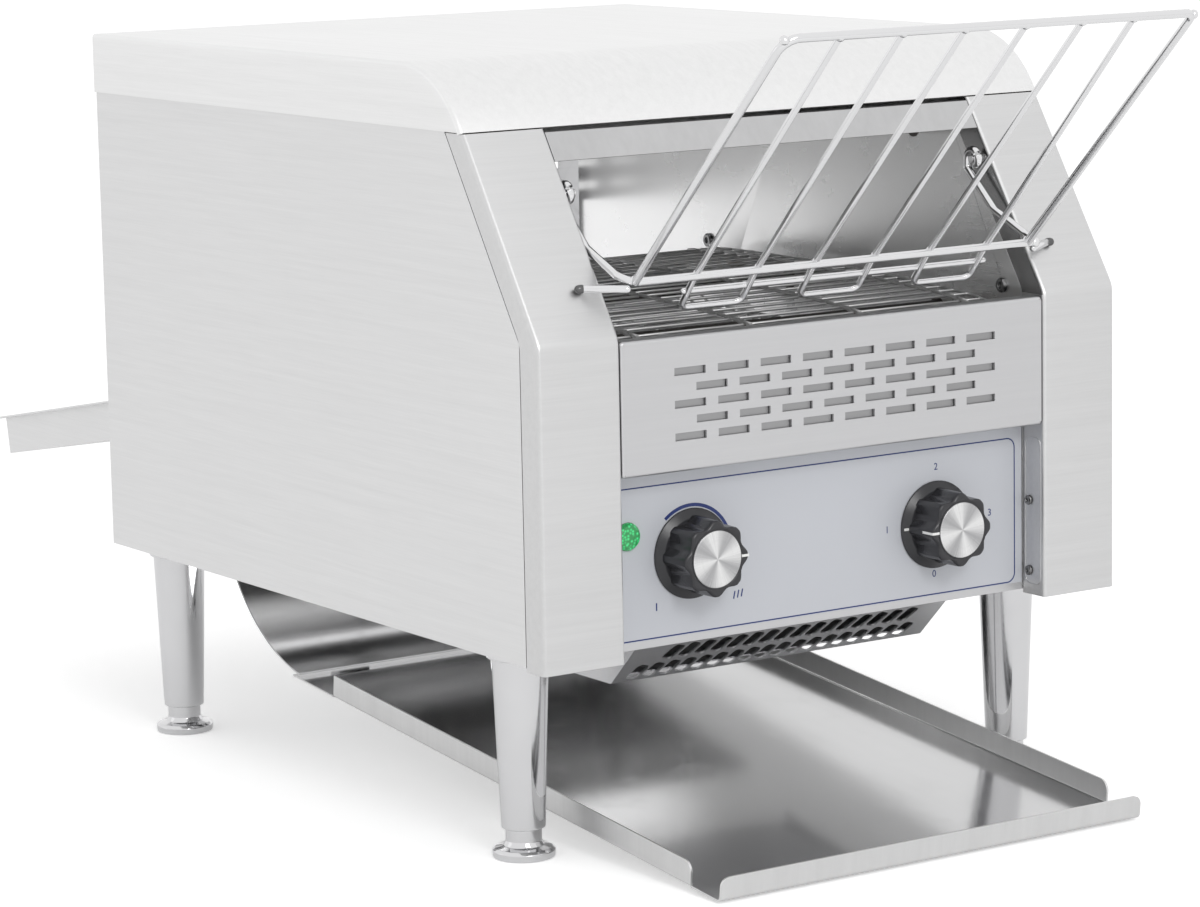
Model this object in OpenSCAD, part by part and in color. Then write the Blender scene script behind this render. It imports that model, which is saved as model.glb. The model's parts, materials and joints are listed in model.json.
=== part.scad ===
// Conveyor toaster: folded sheet cabinet, wire belt, loading rack, slide and tray.
// Millimetres, +Z up, front faces -Y. The origin is on the floor, under the middle of the whole object.

/* [Body] */
// Width over the cover
body_w = 368; // [350:1:400]
// Depth from the front face to the rear panel
body_d = 456; // [450:1:480]
// Height of the top of the cover above the floor
body_h = 402; // [400:1:415]
// Height of the side panels' lower edge
base_h = 108; // [106:1:112]
// Thickness of the outer sheet
sheet = 1.2; // [0.9:0.1:1.5]
// Height of the cover's side flange
cover_h = 33; // [28:1:36]
// Radius of the cover's rolled front edge
roll_r = 63.3; // [60:0.1:66]
// Depth at which the roll begins
roll_d = 120; // [116:1:125]
// Gap shown between neighbouring sheets
seam = 0.5; // [0.3:0.1:0.8]
// Thickness of the chassis plates
chassis_t = 1.5; // [1.2:0.1:2]
// Space between the chassis plates and the rear of the body
chassis_gap = 16; // [14:1:26]

/* [Front] */
// Width of each front pillar
pillar_w = 49.5; // [46:0.5:53]
// Height of the pillars' lower edge
pillar_base = 106; // [104:1:107]
// Height of the knee where the pillars start to lean back
knee_h = 269; // [266:1:272]
// Depth of the pillars' return on the outer side
outer_return = 16; // [14:1:20]
// Depth of the pillars' return towards the opening
inner_return = 18; // [17:1:20]
// Height of the vent panel's lower edge
vent_base = 199; // [196:1:202]
// Height of the vent panel's upper edge
vent_top = 267; // [264:1:268]
// Length of a vent slot
vent_slot_l = 19; // [16:0.5:21]
// Height of a vent slot
vent_slot_h = 4; // [3:0.5:5]
// Distance between the slots of a row
vent_pitch_x = 26.4; // [25:0.1:28]
// Distance between the rows of slots
vent_pitch_z = 8.2; // [7.5:0.1:9]
// Slots in the longer rows
vent_count = 8; // [6:1:8]
// Rows of slots
vent_rows = 5; // [3:2:5]
// Height of the header strip
header_h = 14; // [12:1:16]
// Depth of the header strip's flange
header_flange = 30; // [24:1:30]

/* [Controls] */
// Thickness of the printed overlay
overlay_t = 0.4; // [0.3:0.1:0.6]
// Height of the overlay's lower edge
overlay_base = 112; // [111:1:114]
// Distance of the speed knob from the left end of the panel
speed_inset = 53; // [50:0.5:56]
// Height of the speed knob above the panel's lower edge
speed_rise = 45.5; // [42:0.5:48]
// Distance of the selector knob from the right end of the panel
selector_inset = 59.5; // [50:0.5:62]
// Height of the selector knob above the panel's lower edge
selector_rise = 42; // [41:0.5:48]
// Radius of a knob's skirt
skirt_r = 23.3; // [22:0.1:24]
// Radius of a knob's grip
grip_r = 19.5; // [18:0.1:20]
// Length of a knob's grip
grip_l = 20; // [16:1:22]
// Thickness of a knob's skirt
skirt_t = 2.3; // [2:0.1:3]
// Radius of a knob's metal cap
cap_r = 14.6; // [13:0.1:15]
// Flutes round a knob
flutes = 8; // [6:1:9]
// Radius of a knob's shaft
knob_shaft_r = 3; // [2.5:0.1:3.2]
// Distance of the pilot lamp from the left end of the panel
lamp_inset = 14.1; // [13.5:0.1:18]
// Height of the pilot lamp above the panel's lower edge
lamp_rise = 58.4; // [52:0.1:62]
// Radius of the pilot lamp's lens
lens_r = 7.2; // [6.5:0.1:7.6]
// Depth of the control box behind the front face
box_d = 250; // [240:1:260]
// Height of the control box's lid
box_top = 222; // [218:1:225]

/* [Lower guard] */
// Distance of the guard from the left end of the panel
guard_left = 17.5; // [12:0.5:22]
// Distance of the guard from the right end of the panel
guard_right = 52.5; // [42:0.5:58]
// Drop of the guard's lower edge below the panel
guard_drop = 21; // [18:1:23]
// Run of the guard's sloping face from front to back
guard_run = 22; // [20:1:26]
// Length of the guard's flat floor
guard_floor = 110; // [90:1:140]
// Height of the guard's floor above its lower edge
guard_lip = 3.5; // [3:0.5:5]
// Thickness of the guard
guard_t = 1; // [0.8:0.1:1.2]
// Distance between the guard's slots
guard_pitch = 10; // [9.5:0.1:12]
// Width of a guard slot
guard_slot_w = 8; // [6:0.1:8.2]
// Length of a guard slot
guard_slot_l = 12.4; // [10:0.1:12.5]
// Corner radius of a guard slot
guard_slot_r = 2.6; // [2:0.1:2.9]
// Slant of a guard slot
guard_slant = 21; // [10:1:25]

/* [Conveyor] */
// Space between the belt's edge and a chassis plate
belt_side = 16.5; // [12:0.5:20]
// Depth of the front shaft
front_shaft_d = 31; // [30:0.5:34]
// Height of the front shaft
front_shaft_z = 248.4; // [247:0.1:249]
// Distance of the rear shaft from the rear of the body
rear_shaft_gap = 180; // [172:1:188]
// Rise of the belt towards the rear, in degrees
belt_rise = 1.4; // [1:0.1:2.5]
// Radius of the belt's path round a shaft
belt_r = 16; // [15:0.5:16]
// Radius of the belt's wires
wire_r = 1; // [0.7:0.1:1.1]
// Wires along each straight run of the belt
belt_wires = 21; // [16:1:24]
// Wires round each end of the belt
end_wires = 4; // [3:1:6]
// Radius of the conveyor shafts
shaft_r = 5; // [4:0.5:6]
// Radial play of a shaft in its bush
play = 0.05; // [0.03:0.01:0.08]
// Radius of the bushes
bush_r = 8; // [7.5:0.5:9]
// Radius of the chain sprockets' tips
sprocket_r = 16.9; // [15:0.1:18]
// Teeth on a chain sprocket
sprocket_teeth = 12; // [10:1:14]
// Depth of the motor's shaft
motor_d = 150; // [140:1:160]
// Height of the motor's shaft above the panel's lower edge
motor_rise = 57; // [52:1:62]
// Radius of the motor's body
motor_r = 30; // [26:1:32]
// Length of the motor's body
motor_l = 66; // [55:1:75]
// Length of the motor's gearbox
gearbox_l = 22; // [18:1:26]
// Radius of a heating tube
heater_r = 4; // [3:0.5:5]
// Distance of the upper tubes above the belt
heater_gap = 83; // [80:1:84]
// Depth of the upper reflector's front edge
reflector_d = 96; // [94:1:100]

/* [Rack] */
// Radius of the rack's frame wire
frame_wire_r = 2.2; // [1.8:0.1:2.5]
// Radius of the rack's inner wires
rack_wire_r = 1.7; // [1.4:0.1:2]
// Space between the rack's frame and a chassis plate
rack_side = 9.5; // [8:0.5:14]
// Depth of the rack's lower bar
rack_low_d = -2.6; // [-4:0.1:-2]
// Height of the rack's lower bar
rack_low_z = 296.6; // [295:0.1:299]
// Reach of the rack in front of its lower bar
rack_reach = 122; // [100:1:125]
// Rise of the rack above its lower bar
rack_rise = 123.6; // [100:0.1:130]
// Depth of the studs that the rack hooks on
stud_d = 50.5; // [50:0.5:52]
// Height of the studs
stud_z = 336.5; // [335:0.5:338]
// Radius of the studs
stud_r = 2; // [1.5:0.1:2.2]

/* [Slide and tray] */
// Play between the tray and the width of the slide
tray_play = 0.5; // [0.3:0.1:2]
// Distance of the tray's front edge before the front face
tray_reach = 77; // [60:1:90]
// Pitch of the tray's floor, in degrees
tray_pitch = 5.8; // [5:0.1:6.2]
// Height of the tray's underside at its front edge
tray_front_z = 0.6; // [0.4:0.1:1.5]
// Height of the tray's edges
tray_edge = 13; // [10:0.5:16]
// Overlap of the tray's floor and the slide's lip
tray_lap = 8; // [6:1:9]
// Length of the cut-out at the tray's corners
tray_relief = 25.5; // [20:0.5:30]
// Distance of the side edges' rear end from the floor's rear end
tray_edge_gap = 45; // [40:1:70]
// Thickness of the tray and the slide
tray_t = 1.2; // [1:0.1:1.4]
// Radius of the discharge slide
slide_r = 109; // [104:0.5:112]
// Space between the discharge slide and the rear of the body
slide_back = 37; // [34:0.5:42]
// Height of the slide's upper edge
slide_top = 172; // [168:1:174]
// Distance of the rear chute's walls from the body's sides
chute_inset = 19; // [19:0.5:32]
// Length of the rear chute outside the body
chute_l = 172; // [150:1:190]
// Fall of the rear chute, in degrees
chute_fall = 10.3; // [8:0.1:12]
// Height of the chute's floor at the rear panel
chute_z = 168.3; // [166:0.1:172]
// Height of the chute's walls
chute_wall = 23; // [18:1:25]
// Width of the chute's turned-out lips
chute_lip = 6; // [4:0.5:7]

/* [Legs] */
// Distance between the legs across the body
foot_span_x = 316; // [310:1:320]
// Distance between the legs from front to back
foot_span_y = 362; // [340:1:370]
// Overhang of the front face before the front legs
front_overhang = 61; // [55:1:70]
// Radius of a leg's upper end
leg_top_r = 14.7; // [13:0.1:16]
// Radius of a leg's lower end
leg_low_r = 11.4; // [11.2:0.1:12]
// Height of a leg's lower end
leg_low_z = 15; // [13:0.5:18]
// Radius of the collar on top of a leg
collar_r = 17; // [16:0.5:18]
// Radius of a foot's stem
stem_r = 9.3; // [8:0.1:9.5]
// Radius of a foot's disc
disc_r = 16.3; // [15:0.1:18]
// Travel of a levelling foot
foot_travel = 12; // [8:1:15]

/* [Hidden] */
$fn = 48;

bead_extra = 0.25;
gland_inset = 4.5;
liner_gap = 0.5;
liner_t = 0.8;
half_w = body_w / 2;
side_x = half_w - sheet;
wall_x = half_w - pillar_w;
chute_overlap = 14;
chute_lip_start = 3.5;
rack_front_d = rack_low_d - rack_reach - frame_wire_r - bead_extra;
chute_rear_d = body_d + (chute_l + chute_lip_start + 3) * cos(chute_fall) + chute_wall * sin(chute_fall);
front_y = -(rack_front_d + chute_rear_d) / 2;
chassis_d = body_d - chassis_gap;
speed_x = -wall_x + speed_inset;
speed_z = base_h + speed_rise;
selector_x = wall_x - selector_inset;
selector_z = base_h + selector_rise;
lamp_x = -wall_x + lamp_inset;
lamp_z = base_h + lamp_rise;
guard_x0 = -wall_x + guard_left;
guard_x1 = wall_x - guard_right;
guard_z = base_h - guard_drop;
guard_d = inner_return + guard_run;
guard_rear = guard_d + guard_floor;
rear_shaft_d = body_d - rear_shaft_gap;
motor_z = base_h + motor_rise;
rack_x = wall_x - rack_side;
chute_x = half_w - chute_inset;
gland_x = -wall_x + gland_inset;
gland_z = base_h + 24;
gland_r = 8;
gland_nut_r = 11;
gland_bore = 4.5;
lip_z = body_h - cover_h;
lip_d = roll_d - sqrt(pow(roll_r, 2) - pow(roll_r - cover_h, 2));
lean = lip_d / (lip_z - knee_h);
roof_z = body_h - sheet;
rear_in = body_d - sheet;
belt_run = (rear_shaft_d - front_shaft_d) / cos(belt_rise);
rear_shaft_z = front_shaft_z + (rear_shaft_d - front_shaft_d) * tan(belt_rise);
belt_top_z = front_shaft_z + belt_r + wire_r;
tray_d = -tray_reach;
tray_x = wall_x - tray_play;
slide_x = wall_x;
slide_gap = 1.3;
slide_outer = slide_r + tray_t;
slide_d = body_d - slide_back - slide_outer;
lip_end = slide_d + slide_outer * sin(tray_pitch) + 9;
chain_x = wall_x + chassis_t + 14;
chain_play = 0.4;
chain_h = 4;
chain_w = 5;
belt_x = wall_x - belt_side;
link_pitch = 70;
link_n = floor(2 * (belt_x - 4) / link_pitch) + 1;
wheel_pitch = 44;
wheel_n = 2 * floor((belt_x - 8) / wheel_pitch) + 1;
wheel_gap = 0.4;
tray_l = (lip_end - tray_d) / cos(tray_pitch) + tray_lap;
tray_edge_l = tray_l - tray_edge_gap;
clip_x = wall_x - 44.5;
clip_w = 20;
screw_r = 1.8;
rear_screw_z = [130, 240, 350];
panel_screw_z = [119, 157];
panel_screw_d = 12.5;
heater_ds = [110, 170, 230];
lower_heater_ds = [90, 225];
wall_bolt_r = 4;
wall_bolt_h = 2.2;
wall_bolts_at = [[34, 270], [303, 272]];
badge_rise = 4;
badge_w = 14;
badge_h = 79;
badge_r = 4;
rear_slot_pitch = 30;
rear_slot_l = 20;
rear_slot_z = 290;
rear_slot_rise = 14;
reflector_drop = 30;
heater_cap_r = 6;
hook_r = stud_r + frame_wire_r + 0.4;
skin = 0.8;
motor_foot = 30;
block_w = 50;
block_h = 22;
block_d = 190;
block_x = -45;
rest_gap = 0.3;
tip_l = 2.5;

// Depth of the leaning face at height z
function face_d(z) = max(0, (z - knee_h) * lean);

// Height of the belt's top at depth d
function belt_z(d) = belt_top_z + (d - front_shaft_d) * tan(belt_rise);

// Height of the tray floor's underside at depth d
function tray_z(d) = tray_front_z + (d - tray_d) * tan(tray_pitch);

// A profile drawn in depth and height, carried along X from x0 over length w
module across(x0, w) {
  translate([x0, front_y, 0])
    rotate([90, 0, 90])
      linear_extrude(w)
        children();
}

// A profile drawn in X and height, carried back from depth d over thickness t
module back_from(d, t) {
  translate([0, front_y + d + t, 0])
    rotate([90, 0, 0])
      linear_extrude(t)
        children();
}

// A round bar along X from x0 to x1 at depth d and height z
module bar_x(x0, x1, d, z, r) {
  translate([x0, front_y + d, z])
    rotate([0, 90, 0])
      cylinder(h = x1 - x0, r = r);
}

// A round bar along Y from depth d0 to depth d1
module bar_y(x, z, d0, d1, r) {
  translate([x, front_y + d0, z])
    rotate([-90, 0, 0])
      cylinder(h = d1 - d0, r = r);
}

// A block given by its corners in X, depth and height
module block(x0, x1, d0, d1, z0, z1) {
  translate([x0, front_y + d0, z0])
    cube([x1 - x0, d1 - d0, z1 - z0]);
}

// A round rod between two points given as [x, depth, height]
module rod(p, q, r) {
  v = q - p;
  len = norm(v);
  translate([p[0], front_y + p[1], p[2]])
    rotate([0, acos(v[2] / len), atan2(v[1], v[0])])
      cylinder(h = len, r = r);
}

// A ball at a point given as [x, depth, height]
module ball(p, r) {
  translate([p[0], front_y + p[1], p[2]])
    sphere(r = r);
}

// A strip of the front profile between two depths behind the face
module face_strip(a, b, z0, z1) {
  k = min(z1, knee_h);
  polygon([
    [a, z0], [a, k], [a + face_d(z1), z1],
    [b + face_d(z1), z1], [b, k], [b, z0]
  ]);
}

// The cover's outline in depth and height, grown inwards by t
module cover_outline(t) {
  intersection() {
    translate([0, lip_z - t])
      square([body_d, cover_h]);
    union() {
      translate([roll_d, lip_z - t])
        square([body_d - roll_d, cover_h]);
      translate([roll_d, body_h - roll_r])
        circle(r = roll_r - t);
    }
  }
}

module mirror_if(side) {
  if (side < 0)
    mirror([1, 0, 0])
      children();
  else
    children();
}

// ---- Cabinet ----

module top_cover() {
  color("whitesmoke") {
    difference() {
      across(-half_w, body_w)
        cover_outline(0);
      across(-half_w + sheet, body_w - 2 * sheet)
        cover_outline(sheet);
    }
    block(-side_x, side_x, lip_d + sheet, lip_d + 12, lip_z, lip_z + sheet);
  }
}

module side_panel(side) {
  color("gainsboro")
    mirror_if(side)
      difference() {
        union() {
          across(side_x - sheet, sheet)
            polygon([
              [outer_return + seam, base_h],
              [body_d, base_h],
              [body_d, roof_z],
              [roll_d + 10, roof_z],
              [roll_d + 10, lip_z + cover_h / 2],
              [outer_return + seam + face_d(lip_z + cover_h / 2), lip_z + cover_h / 2],
              [outer_return + seam, knee_h]
            ]);
          block(side_x - 15, side_x - sheet, rear_in - sheet, rear_in, base_h, roof_z);
          block(side_x - 12, side_x - sheet, roll_d + 12, rear_in - sheet, roof_z - sheet, roof_z);
        }
        for (z = rear_screw_z)
          bar_y(side_x - 8, z, rear_in - 5, body_d, screw_r);
      }
}

module left_side_panel() {
  side_panel(-1);
}

module right_side_panel() {
  side_panel(1);
}

module rear_panel() {
  slot_n = 9;
  color("gainsboro")
    difference() {
      back_from(rear_in, sheet)
        translate([-side_x + sheet, base_h])
          square([2 * (side_x - sheet), roof_z - base_h]);
      block(-chute_x, chute_x, rear_in - 1, body_d + 1, chute_z - 1, chute_z + chute_wall + 4);
      for (i = [0 : slot_n - 1], j = [0 : 3])
        block((i - (slot_n - 1) / 2) * rear_slot_pitch - rear_slot_l / 2,
              (i - (slot_n - 1) / 2) * rear_slot_pitch + rear_slot_l / 2,
              rear_in - 1, body_d + 1,
              rear_slot_z + j * rear_slot_rise, rear_slot_z + 5 + j * rear_slot_rise);
      for (s = [-1, 1], z = rear_screw_z)
        bar_y(s * (side_x - 8), z, rear_in - 1, body_d + 1, screw_r);
      bar_y(gland_x, gland_z, rear_in - 1, body_d + 1, gland_r);
    }
}

module front_pillar(side) {
  top = lip_z - seam;
  color("gainsboro")
    mirror_if(side)
      difference() {
        union() {
          across(wall_x, side_x - wall_x)
            face_strip(0, sheet, pillar_base, top);
          across(wall_x, sheet)
            face_strip(0, inner_return, pillar_base, top);
          across(side_x - sheet, sheet)
            face_strip(0, outer_return, pillar_base, top);
          across(wall_x - 0.4, 0.4)
            intersection() {
              translate([1.5, base_h + badge_rise])
                square([badge_w, badge_h]);
              union() {
                translate([1.5, base_h + badge_rise + badge_r])
                  square([badge_w, badge_h - 2 * badge_r]);
                translate([-1, base_h + badge_rise])
                  square([badge_w - 1.5, badge_h]);
                for (z = [badge_rise + badge_r, badge_rise + badge_h - badge_r])
                  translate([badge_w - 2.5, base_h + z])
                    circle(r = badge_r);
              }
            }
        }
        for (z = panel_screw_z)
          bar_x(wall_x - 1, wall_x + 3, panel_screw_d, z, screw_r);
        bar_x(wall_x - 1, wall_x + 3, stud_d, stud_z, stud_r);
      }
}

module left_front_pillar() {
  front_pillar(-1);
}

module right_front_pillar() {
  front_pillar(1);
}

module header_strip() {
  top = lip_z - 2.5;
  low = top - header_h;
  color("lightgray") {
    across(-wall_x, 2 * wall_x)
      polygon([
        [face_d(low) + skin, low],
        [face_d(top) + skin, top],
        [face_d(top) + header_flange, top],
        [face_d(top) + header_flange, top - sheet],
        [face_d(top - sheet) + skin + 1.5, top - sheet],
        [face_d(low) + skin + 1.5, low]
      ]);
  }
}

module chassis_plate(side) {
  top = roof_z - 12;
  color("silver")
    mirror_if(side)
      difference() {
        union() {
          across(wall_x, chassis_t)
            polygon([
              [inner_return, base_h + sheet],
              [chassis_d, base_h + sheet],
              [chassis_d, top],
              [inner_return + face_d(top), top],
              [inner_return, knee_h]
            ]);
          block(wall_x, wall_x + 14, inner_return + 4, chassis_d, base_h + sheet, base_h + sheet + chassis_t);
          block(wall_x, wall_x + 12, inner_return + face_d(top), chassis_d, top - chassis_t, top);
        }
        bar_x(wall_x - 1, wall_x + 5, front_shaft_d, front_shaft_z, bush_r);
        bar_x(wall_x - 1, wall_x + 5, rear_shaft_d, rear_shaft_z, bush_r);
        if (side > 0)
          bar_x(wall_x - 1, wall_x + 5, motor_d, motor_z, shaft_r + 6);
        for (d = heater_ds)
          bar_x(wall_x - 1, wall_x + 5, d, belt_z(d) + heater_gap, heater_cap_r);
        for (d = lower_heater_ds)
          bar_x(wall_x - 1, wall_x + 5, d, belt_z(d) - belt_r + 2, heater_cap_r);
        for (p = wall_bolts_at)
          bar_x(wall_x - 1, wall_x + 5, p[0], p[1], screw_r);
      }
}

module left_chassis_plate() {
  chassis_plate(-1);
}

module right_chassis_plate() {
  chassis_plate(1);
}

module base_plate(side) {
  color("silver")
    mirror_if(side)
      union() {
        block(wall_x, side_x - sheet, inner_return + seam, rear_in - sheet, base_h, base_h + sheet);
        block(side_x - 2 * sheet, side_x - sheet, inner_return + seam, rear_in - sheet,
              base_h, base_h + 14);
      }
}

module left_base_plate() {
  base_plate(-1);
}

module right_base_plate() {
  base_plate(1);
}

// ---- Front panels ----

module vent_panel() {
  w = wall_x - seam - 0.3;
  mid_z = (vent_base + vent_top) / 2;
  color("lightgray")
    difference() {
      union() {
        block(-w, w, skin, skin + sheet, vent_base, vent_top);
        block(-w, w, skin, skin + 10, vent_top - sheet, vent_top);
        block(-w, w, skin, inner_return, vent_base, vent_base + sheet);
        for (s = [-1, 1]) {
          block(s > 0 ? w - sheet : -w, s > 0 ? w : -w + sheet, skin, skin + 11, vent_base, vent_top);
          block(s > 0 ? w - sheet : -wall_x, s > 0 ? wall_x : -w + sheet, skin + 5, skin + 11,
                vent_base + 8, vent_top - 8);
        }
      }
      for (row = [0 : vent_rows - 1]) {
        n = vent_count - row % 2;
        for (i = [0 : n - 1])
          block((i - (n - 1) / 2) * vent_pitch_x - vent_slot_l / 2,
                (i - (n - 1) / 2) * vent_pitch_x + vent_slot_l / 2,
                skin - 1, skin + sheet + 1,
                mid_z + (row - (vent_rows - 1) / 2) * vent_pitch_z - vent_slot_h / 2,
                mid_z + (row - (vent_rows - 1) / 2) * vent_pitch_z + vent_slot_h / 2);
      }
    }
}

module vent_liner() {
  w = wall_x - seam - 0.3 - sheet;
  d = skin + sheet + liner_gap;
  color("silver")
    difference() {
      block(-w, w, d, d + liner_t, vent_base + sheet, vent_top - sheet);
      for (x = [-w + 8, w - 8])
        bar_y(x, (vent_base + vent_top) / 2, d - 1, d + liner_t + 1, screw_r);
    }
}

module control_panel() {
  w = wall_x - seam;
  color("gainsboro")
    difference() {
      union() {
        block(-w, w, inner_return, inner_return + sheet, base_h, box_top - sheet);
        block(-w, w, inner_return, inner_return + 8, base_h, base_h + sheet);
        for (s = [-1, 1])
          block(s > 0 ? w - sheet : -wall_x, s > 0 ? wall_x : -w + sheet,
                inner_return + 4, inner_return + 12, base_h + 12, box_top - 12);
        for (s = [-1, 1])
          block(s > 0 ? w - sheet : -w, s > 0 ? w : -w + sheet,
                inner_return, inner_return + 12, base_h + 12, box_top - 12);
      }
      bar_y(speed_x, speed_z, inner_return - 1, inner_return + 3, knob_shaft_r + 2);
      bar_y(selector_x, selector_z, inner_return - 1, inner_return + 3, knob_shaft_r + 2);
      bar_y(lamp_x, lamp_z, inner_return - 1, inner_return + 3, lens_r);
    }
}

module control_overlay() {
  w = wall_x - seam - 0.4;
  top = vent_base - 0.3;
  color("lightsteelblue")
    difference() {
      block(-w, w, inner_return - overlay_t, inner_return, overlay_base, top);
      bar_y(speed_x, speed_z, inner_return - 1, inner_return + 1, knob_shaft_r + 2);
      bar_y(selector_x, selector_z, inner_return - 1, inner_return + 1, knob_shaft_r + 2);
      bar_y(lamp_x, lamp_z, inner_return - 1, inner_return + 1, lens_r);
    }
}

module control_box() {
  color("silver")
    across(-wall_x, 2 * wall_x)
      difference() {
        translate([inner_return + sheet, base_h + sheet])
          square([box_d - inner_return - sheet, box_top - base_h - sheet]);
        translate([inner_return, base_h + 2 * sheet])
          square([box_d - inner_return - sheet, box_top - base_h - 3 * sheet]);
      }
}

module guard_slot() {
  r = guard_slot_r;
  rotate(-guard_slant) {
    square([guard_slot_w, guard_slot_l - 2 * r], center = true);
    square([guard_slot_w - 2 * r, guard_slot_l], center = true);
    for (i = [-1, 1], j = [-1, 1])
      translate([i * (guard_slot_w / 2 - r), j * (guard_slot_l / 2 - r)])
        circle(r = r);
  }
}

// Depth of the back of the guard's sloping face at height z
function guard_back_d(z, tilt) = inner_return + guard_t / sin(tilt) + (base_h - z) / tan(tilt);

module lower_guard() {
  run = guard_d - inner_return;
  fall = base_h - guard_z;
  tilt = atan(fall / run);
  face_l = run / cos(tilt);
  n = floor((guard_x1 - guard_x0 - 16) / guard_pitch);
  floor_z = guard_z + guard_lip;
  color("lightgray")
    difference() {
      union() {
        across(guard_x0, guard_x1 - guard_x0)
          polygon([
            [inner_return, base_h],
            [guard_d, guard_z],
            [guard_back_d(guard_z, tilt), guard_z],
            [guard_back_d(floor_z, tilt), floor_z],
            [guard_rear, floor_z],
            [guard_rear, base_h + sheet],
            [guard_rear - guard_t, base_h + sheet],
            [guard_rear - guard_t, floor_z + guard_t],
            [guard_back_d(floor_z + guard_t, tilt), floor_z + guard_t],
            [guard_back_d(base_h, tilt), base_h]
          ]);
        for (x = [guard_x0, guard_x1 - guard_t])
          across(x, guard_t)
            polygon([
              [inner_return, base_h], [guard_d, guard_z], [guard_rear, guard_z],
              [guard_rear, base_h + sheet], [inner_return + 10, base_h + sheet], [inner_return + 10, base_h]
            ]);
      }
      translate([0, front_y + guard_d, guard_z])
        rotate([180 - tilt, 0, 0])
          translate([0, 0, -2])
            linear_extrude(3)
              for (row = [0, 1], i = [0 : n - 1 - 2 * row])
                translate([guard_x0 + 12.5 + (i + row * 1.5) * guard_pitch, face_l * (0.26 + row * 0.49)])
                  guard_slot();
    }
}

// ---- Slide, tray and chute ----

module discharge_slide() {
  cz = tray_z(slide_d + slide_outer * sin(tray_pitch)) + tray_t + slide_gap + slide_outer * cos(tray_pitch);
  color("lightgray") {
    across(-slide_x, 2 * slide_x)
      union() {
        intersection() {
          difference() {
            translate([slide_d, cz])
              circle(r = slide_outer);
            translate([slide_d, cz])
              circle(r = slide_r);
          }
          translate([lip_end, 0])
            square([2 * slide_r, cz]);
        }
        translate([slide_d + slide_r, cz - 0.01])
          square([tray_t, slide_top - cz + 0.01]);
      }
    for (s = [-1, 1])
      across(s * clip_x - clip_w / 2, clip_w)
        polygon([
          [lip_end + 24, tray_z(lip_end + 24) + 4.5],
          [lip_end + 24, tray_z(lip_end + 24) - 2.3],
          [lip_end - 6, tray_z(lip_end - 6) - 2.3],
          [lip_end - 6, tray_z(lip_end - 6) - 0.5],
          [lip_end + 14, tray_z(lip_end + 14) - 0.5],
          [lip_end + 14, tray_z(lip_end + 14) + 4]
        ]);
  }
}

module receiving_tray() {
  color("silver")
    translate([0, front_y + tray_d, tray_front_z])
      rotate([tray_pitch, 0, 0])
        union() {
          translate([-tray_x, 0, 0])
            cube([2 * tray_x, tray_l, tray_t]);
          for (s = [-1, 1])
            translate([s > 0 ? tray_x - tray_t : -tray_x, tray_relief, 0])
              cube([tray_t, tray_edge_l - tray_relief, tray_edge]);
          translate([-tray_x, tray_t, 0])
            rotate([90, 0, 0])
              linear_extrude(tray_t)
                union() {
                  square([2 * tray_x, tray_edge - 5]);
                  translate([5, 0])
                    square([2 * tray_x - 10, tray_edge]);
                  for (x = [5, 2 * tray_x - 5])
                    translate([x, tray_edge - 5])
                      circle(r = 5);
                }
        }
}

module rear_chute() {
  color("gainsboro")
    translate([0, front_y + body_d, chute_z])
      rotate([-chute_fall, 0, 0]) {
        translate([-chute_x, -chute_overlap, 0])
          cube([2 * chute_x, chute_l + chute_overlap, sheet]);
        for (s = [-1, 1]) {
          translate([s > 0 ? chute_x - sheet : -chute_x, -chute_overlap, 0])
            cube([sheet, chute_l + chute_overlap, chute_wall]);
          translate([s > 0 ? chute_x - sheet : -chute_x - chute_lip, chute_lip_start, chute_wall - sheet])
            cube([chute_lip + sheet, chute_l + 3, sheet]);
        }
      }
}

// ---- Legs ----

function foot_y(sy) = front_y + front_overhang + (sy > 0 ? foot_span_y : 0);

module leg_at(sx, sy) {
  x = sx * foot_span_x / 2;
  y = foot_y(sy);
  bore = stem_r + 0.4;
  color("silver")
    translate([x, y, 0])
      rotate_extrude()
        difference() {
          polygon([
            [0, leg_low_z],
            [leg_low_r - 1.2, leg_low_z],
            [leg_low_r, leg_low_z + 2],
            [leg_top_r, base_h - 5],
            [collar_r, base_h - 5],
            [collar_r, base_h],
            [0, base_h]
          ]);
          translate([0, leg_low_z - 1])
            square([bore, 46]);
        }
}

module front_left_leg() {
  leg_at(-1, -1);
}

module front_right_leg() {
  leg_at(1, -1);
}

module rear_left_leg() {
  leg_at(-1, 1);
}

module rear_right_leg() {
  leg_at(1, 1);
}

module foot_at(sx, sy) {
  color("silver")
    translate([sx * foot_span_x / 2, foot_y(sy), 0])
      rotate_extrude()
        polygon([
          [0, 0],
          [disc_r, 0],
          [disc_r, 3.5],
          [disc_r - 1.2, 4.6],
          [stem_r + 1.5, 6.2],
          [stem_r, 8],
          [stem_r, leg_low_z + foot_travel + 12],
          [0, leg_low_z + foot_travel + 12]
        ]);
}

module front_left_foot() {
  foot_at(-1, -1);
}

module front_right_foot() {
  foot_at(1, -1);
}

module rear_left_foot() {
  foot_at(-1, 1);
}

module rear_right_foot() {
  foot_at(1, 1);
}

// ---- Loading rack ----

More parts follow.
